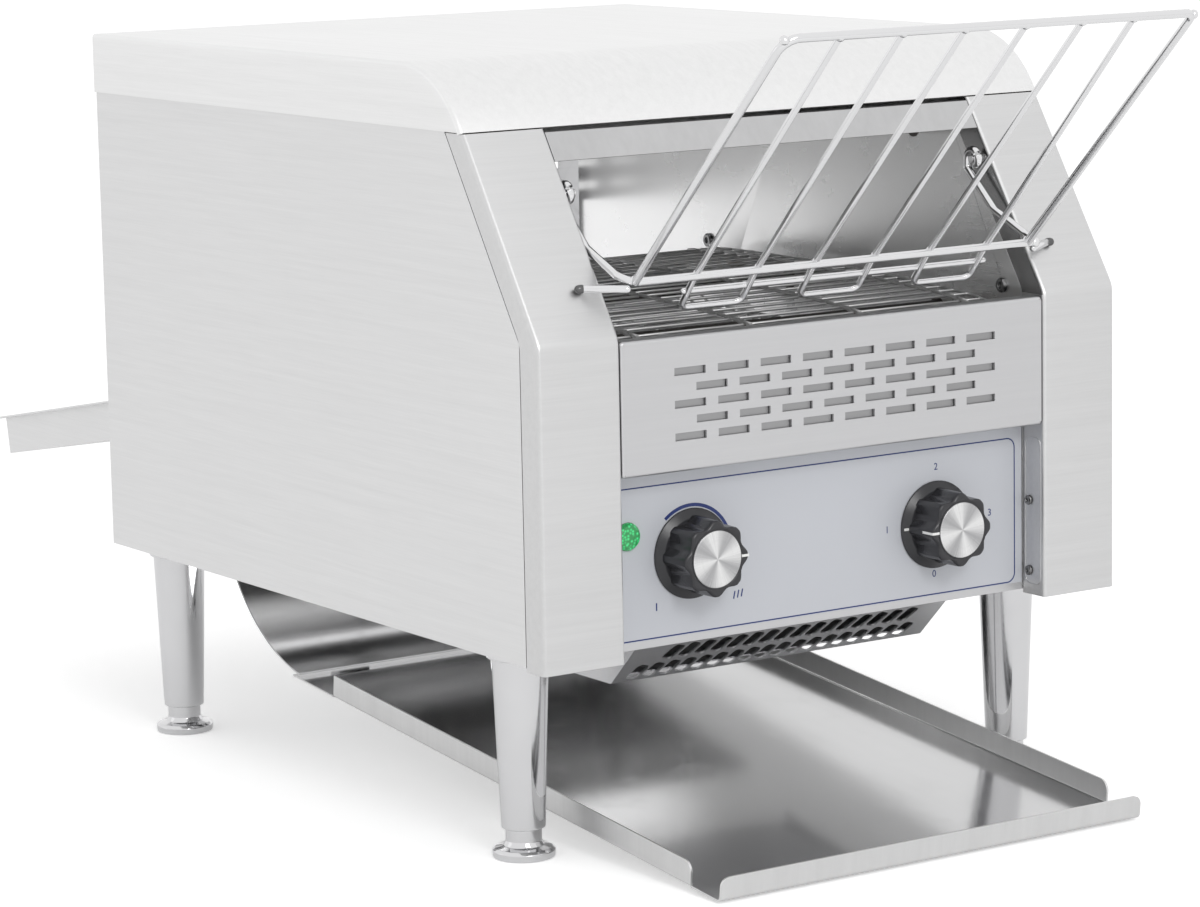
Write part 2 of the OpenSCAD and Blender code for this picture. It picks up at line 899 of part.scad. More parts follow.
rack_n = 7;
rack_step = 2 * rack_x / rack_n;
rack_low = [0, rack_low_d, rack_low_z];
rack_top = [0, rack_low_d - rack_reach, rack_low_z + rack_rise];
rest_z = rack_low_z - 4.6;
rest_off = frame_wire_r + rest_gap;
rest = [rack_x + 25, face_d(rest_z) - rest_off / norm([lean, 1]), rest_z + rest_off * lean / norm([lean, 1])];
rack_corner = [rack_x, rack_low_d, rack_low_z];
rest_dir = (rest - rack_corner) / norm(rest - rack_corner);
tip_start = rest - tip_l * rest_dir;
cross_half = rack_x - rack_step + 4;
cross_d = rack_low_d + 9;
cross_z = rack_low_z - 9.1;
toe_d = rack_low_d + 15.5;
toe_z = rack_low_z - 17.1;

function side_of(p, s, x) = [s * x, p[1], p[2]];

// A weld or bend, a little fuller than the wire of radius r
module bead(p, r) {
  translate([p[0], front_y + p[1], p[2]])
    sphere(r = r + bead_extra);
}

module rack_arm(s) {
  x = wall_x - 6.5;
  a = [s * rack_x, rack_low_d, rack_low_z];
  b = [s * x, rack_low_d + 9, rack_low_z + 3.5];
  c = [s * x, stud_d - 17, stud_z - 22];
  d = [s * x, stud_d + hook_r, stud_z - 4];
  rod(a, b, frame_wire_r);
  bead(b, frame_wire_r);
  rod(b, c, frame_wire_r);
  bead(c, frame_wire_r);
  rod(c, d, frame_wire_r);
  bead(d, frame_wire_r);
  translate([s * x - frame_wire_r, front_y + stud_d, stud_z])
    rotate([90, 0, 90])
      linear_extrude(2 * frame_wire_r)
        difference() {
          union() {
            circle(r = hook_r + frame_wire_r);
            translate([hook_r - frame_wire_r, -4])
              square([2 * frame_wire_r, 4]);
          }
          circle(r = hook_r - frame_wire_r);
          translate([-hook_r - 2 * frame_wire_r, -2 * hook_r])
            square([2 * hook_r + frame_wire_r, 2 * hook_r]);
        }
}

module loading_rack() {
  color("silver")
    union() {
      for (s = [-1, 1]) {
        rod(side_of(rack_low, s, rack_x), side_of(rack_top, s, rack_x), frame_wire_r);
        bead(side_of(rack_low, s, rack_x), frame_wire_r);
        bead(side_of(rack_top, s, rack_x), frame_wire_r);
        rod(side_of(rack_low, s, rack_x), side_of(tip_start, s, tip_start[0]), frame_wire_r);
        rack_arm(s);
      }
      bar_x(-rack_x, rack_x, rack_top[1], rack_top[2], frame_wire_r);
      bar_x(-rack_x, rack_x, rack_low_d, rack_low_z, frame_wire_r);
      bar_x(-cross_half, cross_half, cross_d, cross_z, rack_wire_r);
      for (i = [1 : rack_n - 1]) {
        x = -rack_x + i * rack_step;
        rod([x, rack_top[1], rack_top[2]], [x, rack_low_d, rack_low_z], rack_wire_r);
        rod([x, rack_low_d, rack_low_z], [x, toe_d, toe_z], rack_wire_r);
        bead([x, toe_d, toe_z], rack_wire_r);
      }
      for (i = [1, 3, 5])
        bar_x(-rack_x + i * rack_step, -rack_x + (i + 1) * rack_step, toe_d, toe_z, rack_wire_r);
    }
}

module rack_tips() {
  color("silver")
    for (s = [-1, 1])
      rod(side_of(tip_start, s, tip_start[0]), side_of(rest, s, rest[0]), frame_wire_r);
}

module rack_studs() {
  color("silver")
    mirrored_pair()
      union() {
        bar_x(wall_x - 10.5, wall_x + 2.5, stud_d, stud_z, stud_r);
        bar_x(wall_x - 11.5, wall_x - 10.5, stud_d, stud_z, stud_r + 1.5);
        bar_x(wall_x - 1.5, wall_x - 0, stud_d, stud_z, stud_r + 1.2);
      }
}

module mirrored_pair() {
  children();
  mirror([1, 0, 0])
    children();
}

// ---- Conveyor ----

// Places children at the front shaft's axis with their own X along the belt's run
module on_belt() {
  translate([0, front_y + front_shaft_d, front_shaft_z])
    rotate([belt_rise, 0, 0])
      children();
}

module belt_wire(y, z) {
  translate([-belt_x, y, z])
    rotate([0, 90, 0])
      cylinder(h = 2 * belt_x, r = wire_r);
}

module conveyor_belt() {
  step = belt_run / belt_wires;
  strip_w = 3;
  strip_t = 0.8;
  color("silver")
    on_belt()
      union() {
        for (i = [0 : belt_wires - 1]) {
          belt_wire((i + 0.5) * step, belt_r);
          belt_wire((i + 0.5) * step, -belt_r);
        }
        for (i = [0 : end_wires - 1]) {
          a = 90 + (i + 0.5) * 180 / end_wires;
          belt_wire(belt_r * cos(a), belt_r * sin(a));
          belt_wire(belt_run - belt_r * cos(a), belt_r * sin(a));
        }
        for (i = [0 : link_n - 1])
          translate([(i - (link_n - 1) / 2) * link_pitch - strip_w / 2, 0, 0])
            rotate([90, 0, 90])
              linear_extrude(strip_w)
                difference() {
                  union() {
                    translate([0, -belt_r - strip_t / 2])
                      square([belt_run, 2 * belt_r + strip_t]);
                    circle(r = belt_r + strip_t / 2);
                    translate([belt_run, 0])
                      circle(r = belt_r + strip_t / 2);
                  }
                  translate([0, -belt_r + strip_t / 2])
                    square([belt_run, 2 * belt_r - strip_t]);
                  circle(r = belt_r - strip_t / 2);
                  translate([belt_run, 0])
                    circle(r = belt_r - strip_t / 2);
                }
      }
}

module front_shaft() {
  color("darkgray")
    bar_x(-wall_x - chassis_t - 7, chain_x + 8, front_shaft_d, front_shaft_z, shaft_r);
}

module rear_shaft() {
  color("darkgray")
    bar_x(-wall_x - chassis_t - 7, wall_x + chassis_t + 7, rear_shaft_d, rear_shaft_z, shaft_r);
}

module belt_wheel() {
  r = belt_r - wire_r - wheel_gap;
  linear_extrude(6, center = true)
    difference() {
      circle(r = r);
      for (i = [0 : 7])
        rotate(i * 45 + 22.5)
          translate([r + 1, 0])
            circle(r = 3);
      circle(r = shaft_r);
    }
}

module belt_wheels(d, z) {
  color("dimgray")
    for (i = [0 : wheel_n - 1])
      translate([(i - (wheel_n - 1) / 2) * wheel_pitch, front_y + d, z])
        rotate([0, 90, 0])
          belt_wheel();
}

module front_belt_wheels() {
  belt_wheels(front_shaft_d, front_shaft_z);
}

module rear_belt_wheels() {
  belt_wheels(rear_shaft_d, rear_shaft_z);
}

module bush(d, z) {
  difference() {
    union() {
      bar_x(wall_x - 2, wall_x + chassis_t + 4, d, z, bush_r);
      bar_x(wall_x + chassis_t, wall_x + chassis_t + 2, d, z, bush_r + 3);
    }
    bar_x(wall_x - 3, wall_x + chassis_t + 5, d, z, shaft_r + play);
  }
}

module shaft_bushes() {
  color("goldenrod")
    mirrored_pair() {
      bush(front_shaft_d, front_shaft_z);
      bush(rear_shaft_d, rear_shaft_z);
    }
}

module sprocket_at(d, z, turn) {
  translate([chain_x, front_y + d, z])
    rotate([0, 90, 0])
      difference() {
        union() {
          linear_extrude(2.5, center = true)
            difference() {
              circle(r = sprocket_r);
              for (i = [0 : sprocket_teeth - 1])
                rotate(turn + i * 360 / sprocket_teeth)
                  translate([sprocket_r + 0.8, 0])
                    circle(r = 2.6);
            }
          translate([0, 0, -6])
            cylinder(h = 12, r = shaft_r + 3.5);
        }
        translate([0, 0, -7])
          cylinder(h = 14, r = shaft_r);
      }
}

module shaft_sprocket() {
  color("dimgray")
    sprocket_at(front_shaft_d, front_shaft_z, 0);
}

module motor_sprocket() {
  color("dimgray")
    sprocket_at(motor_d, motor_z, 0);
}

module drive_chain() {
  dd = motor_d - front_shaft_d;
  dz = motor_z - front_shaft_z;
  run = norm([dd, dz]);
  inner = sprocket_r + chain_play;
  outer = inner + chain_h;
  color("gray")
    translate([chain_x - chain_w / 2, front_y + front_shaft_d, front_shaft_z])
      rotate([90, 0, 90])
        rotate(atan2(dz, dd))
          linear_extrude(chain_w)
            difference() {
              union() {
                translate([0, -outer])
                  square([run, 2 * outer]);
                circle(r = outer);
                translate([run, 0])
                  circle(r = outer);
              }
              translate([0, -inner])
                square([run, 2 * inner]);
              circle(r = inner);
              translate([run, 0])
                circle(r = inner);
            }
}

module motor_shaft() {
  color("darkgray")
    bar_x(wall_x - 14, chain_x + 8, motor_d, motor_z, shaft_r);
}

module gear_motor() {
  foot_x = wall_x - gearbox_l - motor_l / 2;
  color("dimgray")
    difference() {
      union() {
        bar_x(wall_x - gearbox_l, wall_x, motor_d, motor_z, motor_r + 2);
        bar_x(wall_x - gearbox_l - motor_l, wall_x - gearbox_l, motor_d, motor_z, motor_r);
        block(foot_x - motor_foot / 2, foot_x + motor_foot / 2, motor_d - 12, motor_d + 12,
              base_h + 2 * sheet, motor_z - motor_r + 4);
      }
      bar_x(wall_x - 16, wall_x + 1, motor_d, motor_z, shaft_r + play);
    }
}

module heater(d, z) {
  bar_x(-wall_x, wall_x, d, z, heater_r);
  mirrored_pair()
    bar_x(wall_x, wall_x + chassis_t + 6, d, z, heater_cap_r);
}

module upper_heaters() {
  color("slategray")
    for (d = heater_ds)
      heater(d, belt_z(d) + heater_gap);
}

module lower_heaters() {
  color("slategray")
    for (d = lower_heater_ds)
      heater(d, belt_z(d) - belt_r + 2);
}

module upper_reflector() {
  z = roof_z - reflector_drop;
  d0 = reflector_d;
  d1 = rear_shaft_d;
  color("lightgray")
    across(-wall_x, 2 * wall_x)
      polygon([
        [d0, z - 20], [d0 + 8, z], [d1, z], [d1 + 10, z - 22],
        [d1 + 9, z - 22], [d1 - 0.7, z - 1], [d0 + 8.6, z - 1], [d0 + 1, z - 20]
      ]);
}

// ---- Controls ----

module knob_at(x, z) {
  back = inner_return - overlay_t - 0.3;
  color("black")
    translate([x, front_y + back, z])
      rotate([90, 0, 0])
        difference() {
          union() {
            cylinder(h = skirt_t, r = skirt_r);
            linear_extrude(skirt_t + grip_l)
              difference() {
                circle(r = grip_r);
                for (i = [0 : flutes - 1])
                  rotate((i + 0.5) * 360 / flutes)
                    translate([grip_r + 4.2, 0])
                      circle(r = 6.4);
              }
          }
          translate([0, 0, -1])
            cylinder(h = skirt_t + grip_l - 3, r = knob_shaft_r);
          translate([0, 0, skirt_t + grip_l - 0.5])
            cylinder(h = 1, r = cap_r);
        }
}

module cap_at(x, z) {
  front = inner_return - overlay_t - 0.3 - skirt_t - grip_l;
  color("silver")
    bar_y(x, z, front - 0.3, front + 0.5, cap_r);
}

module knob_shaft_at(x, z) {
  back = inner_return - overlay_t - 0.3;
  color("darkgray")
    bar_y(x, z, back - skirt_t - grip_l + 4, inner_return + 12, knob_shaft_r);
}

module speed_knob() {
  knob_at(speed_x, speed_z);
}

module speed_knob_cap() {
  cap_at(speed_x, speed_z);
}

module speed_knob_shaft() {
  knob_shaft_at(speed_x, speed_z);
}

module selector_knob() {
  knob_at(selector_x, selector_z);
}

module selector_knob_cap() {
  cap_at(selector_x, selector_z);
}

module selector_knob_shaft() {
  knob_shaft_at(selector_x, selector_z);
}

// A control body behind the panel, with a threaded bush that its shaft turns in
module control_body(x, z, w, h, l) {
  d = inner_return + sheet;
  difference() {
    union() {
      block(x - w / 2, x + w / 2, d, d + l, z - h / 2, z + h / 2);
      bar_y(x, z, inner_return - overlay_t, d, knob_shaft_r + 2);
    }
    bar_y(x, z, inner_return - 2, inner_return + 13, knob_shaft_r + play);
  }
}

module speed_controller() {
  color("darkslategray")
    control_body(speed_x, speed_z, 34, 44, 26);
}

module selector_switch() {
  color("ivory")
    control_body(selector_x, selector_z, 42, 42, 34);
}

module pilot_lamp() {
  color("dimgray")
    union() {
      bar_y(lamp_x, lamp_z, inner_return - overlay_t, inner_return + 22, lens_r);
      bar_y(lamp_x, lamp_z, inner_return + sheet, inner_return + sheet + 3, lens_r + 2);
    }
}

module pilot_lens() {
  face = inner_return - overlay_t;
  color("green")
    translate([lamp_x, front_y + face, lamp_z])
      rotate([90, 0, 0])
        rotate_extrude()
          polygon([[0, 0], [lens_r + 0.6, 0], [lens_r + 0.6, 1], [lens_r - 1, 2.6], [0, 3.4]]);
}

module terminal_block() {
  z0 = base_h + 2 * sheet;
  n = 5;
  color("ivory")
    difference() {
      block(block_x - block_w / 2, block_x + block_w / 2, block_d - 10, block_d + 10, z0, z0 + block_h);
      for (i = [0 : n - 1])
        bar_y(block_x + (i - (n - 1) / 2) * block_w / n, z0 + block_h * 0.6, block_d - 11, block_d, 2.5);
    }
}

module inlet_gland() {
  color("black")
    difference() {
      union() {
        bar_y(gland_x, gland_z, rear_in - 8, body_d + 10, gland_r);
        bar_y(gland_x, gland_z, body_d, body_d + 5, gland_nut_r);
        bar_y(gland_x, gland_z, rear_in - 6, rear_in, gland_nut_r);
      }
      bar_y(gland_x, gland_z, rear_in - 9, body_d + 11, gland_bore);
    }
}

module pan_screw_y(x, z) {
  bar_y(x, z, rear_in - 5, body_d, screw_r);
  bar_y(x, z, body_d, body_d + 2, 3.6);
}

module panel_screws() {
  color("silver")
    mirrored_pair()
      for (z = panel_screw_z) {
        bar_x(wall_x - 1.8, wall_x - 0.4, panel_screw_d, z, 2.5);
        bar_x(wall_x - 0.4, wall_x + 4, panel_screw_d, z, screw_r);
      }
}

module cabinet_screws() {
  color("silver")
    for (s = [-1, 1], z = rear_screw_z)
      pan_screw_y(s * (side_x - 8), z);
}

module wall_bolts() {
  color("silver")
    mirrored_pair()
      for (p = wall_bolts_at) {
        bar_x(wall_x - wall_bolt_h, wall_x, p[0], p[1], wall_bolt_r);
        bar_x(wall_x, wall_x + chassis_t + 5, p[0], p[1], screw_r);
      }
}

top_cover();
left_side_panel();
right_side_panel();
rear_panel();
left_front_pillar();
right_front_pillar();
header_strip();
left_chassis_plate();
right_chassis_plate();
left_base_plate();
right_base_plate();
vent_panel();
vent_liner();
control_panel();
control_overlay();
control_box();
lower_guard();
discharge_slide();
receiving_tray();
rear_chute();
front_left_leg();
front_right_leg();
rear_left_leg();
rear_right_leg();
front_left_foot();
front_right_foot();
rear_left_foot();
rear_right_foot();
loading_rack();
rack_tips();
rack_studs();
conveyor_belt();
front_shaft();
rear_shaft();
front_belt_wheels();
rear_belt_wheels();
shaft_bushes();
shaft_sprocket();
motor_sprocket();
drive_chain();
gear_motor();
motor_shaft();
upper_heaters();
lower_heaters();
upper_reflector();
speed_knob();
speed_knob_cap();
speed_knob_shaft();
selector_knob();
selector_knob_cap();
selector_knob_shaft();
speed_controller();
selector_switch();
pilot_lamp();
pilot_lens();
terminal_block();
inlet_gland();
panel_screws();
cabinet_screws();
wall_bolts();
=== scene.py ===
"""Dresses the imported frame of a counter-top conveyor toaster.

Lengths in this file are millimetres and points are (x, depth, height): x to the right, depth behind
the front plane of the cabinet, height above the counter. placed() turns them into the frame's metres.
"""

import json
import math

import bmesh
import bpy
import numpy as np
from bpy.props import FloatProperty, FloatVectorProperty, IntProperty, PointerProperty
from mathutils import Matrix, Vector


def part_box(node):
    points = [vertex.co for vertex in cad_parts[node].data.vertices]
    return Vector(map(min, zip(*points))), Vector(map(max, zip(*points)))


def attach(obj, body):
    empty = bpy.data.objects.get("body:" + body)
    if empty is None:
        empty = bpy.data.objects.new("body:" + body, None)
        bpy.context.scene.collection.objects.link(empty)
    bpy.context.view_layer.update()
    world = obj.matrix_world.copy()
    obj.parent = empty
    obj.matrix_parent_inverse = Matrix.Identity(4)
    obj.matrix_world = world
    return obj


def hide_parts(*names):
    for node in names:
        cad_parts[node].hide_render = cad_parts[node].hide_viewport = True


bl_info = {
    "name": "Conveyor toaster",
    "version": (1, 0, 0),
    "blender": (4, 5, 0),
    "location": "3D View > Sidebar > Toaster",
    "description": "Dresses the packed frame of a conveyor toaster",
    "category": "Add Mesh",
}

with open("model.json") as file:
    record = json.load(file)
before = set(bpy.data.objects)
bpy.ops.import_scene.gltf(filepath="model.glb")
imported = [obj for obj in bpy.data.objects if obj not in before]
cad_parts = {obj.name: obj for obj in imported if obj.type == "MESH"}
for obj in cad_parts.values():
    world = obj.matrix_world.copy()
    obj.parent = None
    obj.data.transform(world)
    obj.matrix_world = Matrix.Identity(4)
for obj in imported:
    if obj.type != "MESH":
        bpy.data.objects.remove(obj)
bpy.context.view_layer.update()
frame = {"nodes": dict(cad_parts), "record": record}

NODE_BODY = {node: body for body, nodes in frame["record"]["behaviour"]["bodies"].items() for node in nodes}
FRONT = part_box("left_front_pillar")[0].y * 1000

# Half widths: over the cover, inside its sides, to the inner walls' faces
HALF_W = 184.0
SIDE_X = 182.8
WALL_X = 134.5
# Side view: depth and height of the cabinet, the cover's roll and lip, the knee and lean of the pillars
BODY_D = 456.0
BODY_H = 402.0
ROLL_D = 120.0
ROLL_R = 63.3
LIP_Z = 369.0
LIP_D = ROLL_D - math.sqrt(ROLL_R**2 - (ROLL_R - (BODY_H - LIP_Z)) ** 2)
KNEE_Z = 269.0
LEAN = LIP_D / (LIP_Z - KNEE_Z)
# Depths of the panels' and the printed film's faces
PANEL_D = 18.0
VENT_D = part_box("vent_panel")[0].y * 1000 - FRONT
OVERLAY_FACE = PANEL_D - 0.4
# Middles of the controls as (x, height), of the rack's studs as (depth, height)
SPEED = (-81.5, 153.5)
SELECTOR = (75.0, 150.0)
LAMP = (-120.4, 166.4)
STUD = (50.5, 336.5)


# ---------------------------------------------------------------- sizes and colours


def length(name, description, default, low, high):
    return FloatProperty(
        name=name,
        description=description,
        default=default,
        min=low,
        max=high,
        precision=4,
        subtype="DISTANCE",
        unit="LENGTH",
    )


def colour(name, description, default):
    return FloatVectorProperty(
        name=name, description=description, default=default, min=0.0, max=1.0, size=3, subtype="COLOR"
    )


def share(name, description, default, high=1.0):
    return FloatProperty(
        name=name, description=description, default=default, min=0.0, max=high, subtype="FACTOR"
    )


def amount(name, description, default, unit="NONE"):
    return FloatProperty(name=name, description=description, default=default, min=0.0, unit=unit)


class ToasterSheet(bpy.types.PropertyGroup):
    thickness: length("Sheet thickness", "Thickness of the folded sheet", 0.0012, 0.0005, 0.003)
    fold: length("Fold radius", "Outer radius of the cabinet's folds", 0.0022, 0.0005, 0.006)
    tray_fold: length("Tray fold radius", "Inner radius of the tray's folds", 0.0018, 0.0005, 0.004)
    edge: length("Edge softness", "Width of the softened edge of a cut sheet", 0.0003, 0.00005, 0.001)


class ToasterWire(bpy.types.PropertyGroup):
    frame_r: length("Rack frame radius", "Radius of the rack's heavy wire", 0.0022, 0.001, 0.004)
    rack_r: length("Rack wire radius", "Radius of the rack's light wire", 0.0017, 0.001, 0.004)
    belt_r: length("Belt wire radius", "Radius of the belt's wire", 0.00085, 0.0005, 0.002)
    bend: length("Bend radius", "Radius of the rack's bends", 0.007, 0.002, 0.02)
    sides: IntProperty(name="Wire sides", description="Facets round a rack wire", default=14, min=6, max=32)


class ToasterControls(bpy.types.PropertyGroup):
    flutes: IntProperty(name="Flutes", description="Number of hollows round a knob", default=8, min=3, max=24)
    flute_depth: length("Flute depth", "Depth of a hollow in the knob's grip", 0.0026, 0.0, 0.005)
    line_w: length("Line width", "Width of the printed border line", 0.0007, 0.0001, 0.003)
    arc_w: length("Arc width", "Width of the arc round the speed knob", 0.0018, 0.0001, 0.004)
    mark_w: length("Index width", "Width of the white index line", 0.0013, 0.0003, 0.003)
    print_colour: colour("Print colour", "Colour of the printed lines and numbers", (0.012, 0.03, 0.16))
    film_colour: colour("Film colour", "Colour of the printed film", (0.575, 0.59, 0.63))
    plastic_colour: colour("Knob colour", "Colour of the knobs", (0.006, 0.006, 0.0065))
    lens_colour: colour("Lens colour", "Colour of the pilot lens", (0.03, 0.50, 0.13))


class ToasterFinish(bpy.types.PropertyGroup):
    steel: colour("Sheet steel", "Colour of the brushed sheet", (0.75, 0.75, 0.752))
    # Painted light and shade: the cover is tinted lighter and the pillars, header and vent panel darker than
    # the side sheet, lit and shaded copies of one brushed steel
    cover: colour("Cover steel", "Colour of the top cover", (0.85, 0.85, 0.85))
    pillar: colour("Pillar steel", "Colour of the front pillars", (0.67, 0.67, 0.672))
    header: colour("Header steel", "Colour of the header strip", (0.55, 0.55, 0.555))
    vent: colour("Vent panel steel", "Colour of the vent panel and its frame", (0.60, 0.60, 0.61))
    wall: colour("Inner wall steel", "Colour of the smooth walls beside the belt", (0.80, 0.80, 0.80))
    tray: colour("Tray steel", "Colour of the slide and the tray's floor", (0.60, 0.60, 0.605))
    tray_back: colour("Tray outer steel", "Colour of the brushed outside of the tray", (0.70, 0.70, 0.70))
    # painted shade: the plain sheet inside is set near black so that the belt's gaps show dark
    inner: colour("Inner steel", "Colour of the plain sheet inside", (0.05, 0.05, 0.05))
    chrome: colour("Chrome", "Colour of the plated tube", (0.70, 0.70, 0.71))
    # painted reflection: the wire's tint is set dark so that the rack's and belt's wire shows dark sides
    # beside its highlights
    wire: colour("Wire", "Colour of the rack's wire", (0.24, 0.24, 0.243))
    rough: share("Sheet roughness", "Roughness of the brushed sheet", 0.36)
    grain: share("Grain", "Depth of the brushed grain", 0.22)


class ToasterStage(bpy.types.PropertyGroup):
    floor: colour("Floor", "Colour of the floor", (0.86, 0.86, 0.86))
    paper: share("White floor", "Strength of the floor's own white where it is seen or mirrored", 0.4)
    sky: share("Fill light", "Strength of the light from all sides", 0.85, 3.0)
    key: amount("Key lamp", "Power of the key lamp", 20.0, "POWER")
    side: amount("Side lamp", "Power of the side lamp", 1.0, "POWER")
    inside: amount("Inner lamps", "Strength of the soft lamps behind the belt", 1.0)
    under: amount("Under lamp", "Power of the lamp on the cabinet's underside", 0.2, "POWER")
    box: amount("Soft box", "Brightness of the strip that glossy skins mirror", 4.5)


def mm(value):
    """A length property in millimetres."""
    return value * 1000.0


# ---------------------------------------------------------------- shells from whole arrays


def placed(points):
    """Points (x, depth, height) in millimetres as the frame's metres, depth counted from the front plane."""
    p = np.array(points, dtype=float).reshape(-1, 3)
    p[:, 1] += FRONT
    return p / 1000.0


def quads(rows, columns, wrap_rows=False, wrap_columns=False):
    """The four-sided faces between neighbours of a grid of rows by columns points, as one index array."""
    i = np.arange(rows if wrap_rows else rows - 1)[:, None]
    j = np.arange(columns if wrap_columns else columns - 1)[None, :]
    k, l = (i + 1) % rows, (j + 1) % columns
    corners = [i * columns + j, k * columns + j, k * columns + l, i * columns + l]
    return np.stack(corners, axis=-1).reshape(-1, 4)


def volume(points, faces):
    """The signed volume that faces enclose: the sum over their fans of a . (b x c) / 6."""
    total = 0.0
    for f in faces:
        for j in range(1, f.shape[1] - 1):
            a, b, c = points[f[:, 0]], points[f[:, j]], points[f[:, j + 1]]
            total += np.einsum("ij,ij->", a, np.cross(b, c)) / 6
    return total


def closed(points, faces):
    """A closed shell with its faces outwards: where its signed volume is negative, every face is reversed."""
    points = np.asarray(points, float).reshape(-1, 3)
    faces = [np.asarray(f).reshape(-1, np.asarray(f).shape[-1]) for f in faces]
    if volume(points - points.mean(axis=0), faces) < 0:
        faces = [f[:, ::-1] for f in faces]
    return points, faces


def facing(points, faces, way):
    """An open sheet whose faces look along way: all are reversed where their summed normals look away."""
    points = np.asarray(points, float).reshape(-1, 3)
    a, b, c = points[faces[:, 0]], points[faces[:, 1]], points[faces[:, 2]]
    normal = np.cross(b - a, c - a).sum(axis=0)
    return points, [faces if normal @ np.asarray(way, float) > 0 else faces[:, ::-1]]


def sheet(x, d, z, way):
    """An open sheet on a grid whose x, depth and height are three arrays, its faces looking along way."""
    grid = np.stack(np.broadcast_arrays(x, d, z), axis=-1)
    return facing(grid, quads(*grid.shape[:2]), way)


def unit(v):
    return v / np.linalg.norm(v, axis=-1, keepdims=True)


def directions(path, joined):
    """The unit direction at each point of a path: along the chord between its neighbours."""
    step = np.roll(path, -1, axis=0) - np.roll(path, 1, axis=0) if joined else np.gradient(path, axis=0)
    return unit(step)


def rounded(points, radius, steps=6):
    """A polyline with each inner corner replaced by an arc of the radius that touches both legs.

    With the half angle h between the legs, the arc starts radius / tan(h) before the corner and its centre
    lies radius / sin(h) along the bisector."""
    p = np.asarray(points, float)
    radii = np.broadcast_to(radius, len(p))
    out = [p[:1]]
    for k in range(1, len(p) - 1):
        a, b = unit(p[k - 1] - p[k]), unit(p[k + 1] - p[k])
        half = math.acos(np.clip(a @ b, -1, 1)) / 2
        if radii[k] <= 0 or half > math.pi / 2 - 0.01:
            out.append(p[k : k + 1])
            continue
        reach = radii[k] / math.tan(half)
        reach = min(reach, 0.49 * np.linalg.norm(p[k - 1] - p[k]), 0.49 * np.linalg.norm(p[k + 1] - p[k]))
        r = reach * math.tan(half)
        middle = p[k] + unit(a + b) * r / math.sin(half)
        start, sideways = p[k] + a * reach - middle, -a
        turn = np.linspace(0, math.pi - 2 * half, steps + 1)[:, None]
        out.append(middle + np.cos(turn) * start + np.sin(turn) * sideways * r)
    out.append(p[-1:])
    return np.concatenate(out)


def rounded_box(x0, x1, z0, z1, r, steps):
    """The outline of a box with corners of radius r, as a ring of (x, height) points."""
    parts = []
    for k, (cx, cz) in enumerate([(x0 + r, z0 + r), (x1 - r, z0 + r), (x1 - r, z1 - r), (x0 + r, z1 - r)]):
        a = np.radians(np.linspace(180 + 90 * k, 270 + 90 * k, steps))
        parts.append(np.column_stack([cx + r * np.cos(a), cz + r * np.sin(a)]))
    return np.concatenate(parts)


def wire(path, radius, up, sides, joined=False, round_ends=True):
    """A round wire: at each point of the path a circle of the radius stands square to the path's direction.

    The circle's first spoke is the part of up that is square to the path. Round ends are rings that shrink
    with the cosine while they move out with the sine of an angle up to 80 degrees, closed by a flat face."""
    p = np.asarray(path, float)
    t = directions(p, joined)
    r = np.full(len(p), float(radius))
    if round_ends and not joined:
        turn = np.radians([80, 55, 28])
        reach, ring_r = (radius * np.sin(turn))[:, None], radius * np.cos(turn)
        p = np.concatenate([p[0] - t[0] * reach, p, p[-1] + t[-1] * reach[::-1]])
        t = np.concatenate([np.repeat(t[:1], 3, axis=0), t, np.repeat(t[-1:], 3, axis=0)])
        r = np.concatenate([ring_r, r, ring_r[::-1]])
    u = np.broadcast_to(np.asarray(up, float), p.shape)
    n = unit(u - np.einsum("ij,ij->i", u, t)[:, None] * t)
    b = np.cross(t, n)
    a = np.linspace(0, 2 * math.pi, sides, endpoint=False)[None, :, None]
    ring = p[:, None] + r[:, None, None] * (np.cos(a) * n[:, None] + np.sin(a) * b[:, None])
    faces = [quads(len(p), sides, wrap_rows=joined, wrap_columns=True)]
    if not joined:
        faces += [np.arange(sides)[None], (len(p) - 1) * sides + np.arange(sides)[None]]
    return closed(ring, faces)


# A direction along no axis, from which a turned piece's first spoke is squared off
ASKEW = (0.31, 0.17, 0.93)


def turned(profile, centre, axis, sides, wave=None):
    """A profile of (radius, height) pairs turned about an axis through centre.

    A pair of radius 0 becomes a pole with a fan of triangles, every other one a ring. Where wave is given,
    it takes the angles and the rings' pairs and returns what is added to the radii, one row a ring."""
    profile, centre = np.asarray(profile, float), np.asarray(centre, float)
    axis = unit(np.asarray(axis, float))
    if abs(axis[1]) > 0.9:
        side = np.array([1.0, 0, 0])
    else:
        side = unit(np.cross(axis, ASKEW if abs(axis[2]) < 0.9 else [1, 0, 0]))
    other = np.cross(axis, side)
    a = np.linspace(0, 2 * math.pi, sides, endpoint=False)
    body = profile[profile[:, 0] > 1e-6]
    r = np.repeat(body[:, :1], sides, axis=1)
    if wave is not None:
        r = r + wave(a, body)
    spokes = np.cos(a)[None, :, None] * side + np.sin(a)[None, :, None] * other
    points = (centre + body[:, 1][:, None, None] * axis + r[:, :, None] * spokes).reshape(-1, 3)
    faces = [quads(len(body), sides, wrap_columns=True)]
    first = np.arange(sides)
    for end, edge in ((profile[0], first), (profile[-1], (len(body) - 1) * sides + first)):
        fan = edge[None]
        if end[0] <= 1e-6:
            fan = np.stack([edge, np.roll(edge, -1), np.full(sides, len(points))], axis=1)
            points = np.concatenate([points, [centre + end[1] * axis]])
        faces.append(fan[:, ::-1] if edge[0] == 0 else fan)
    return closed(points, faces)


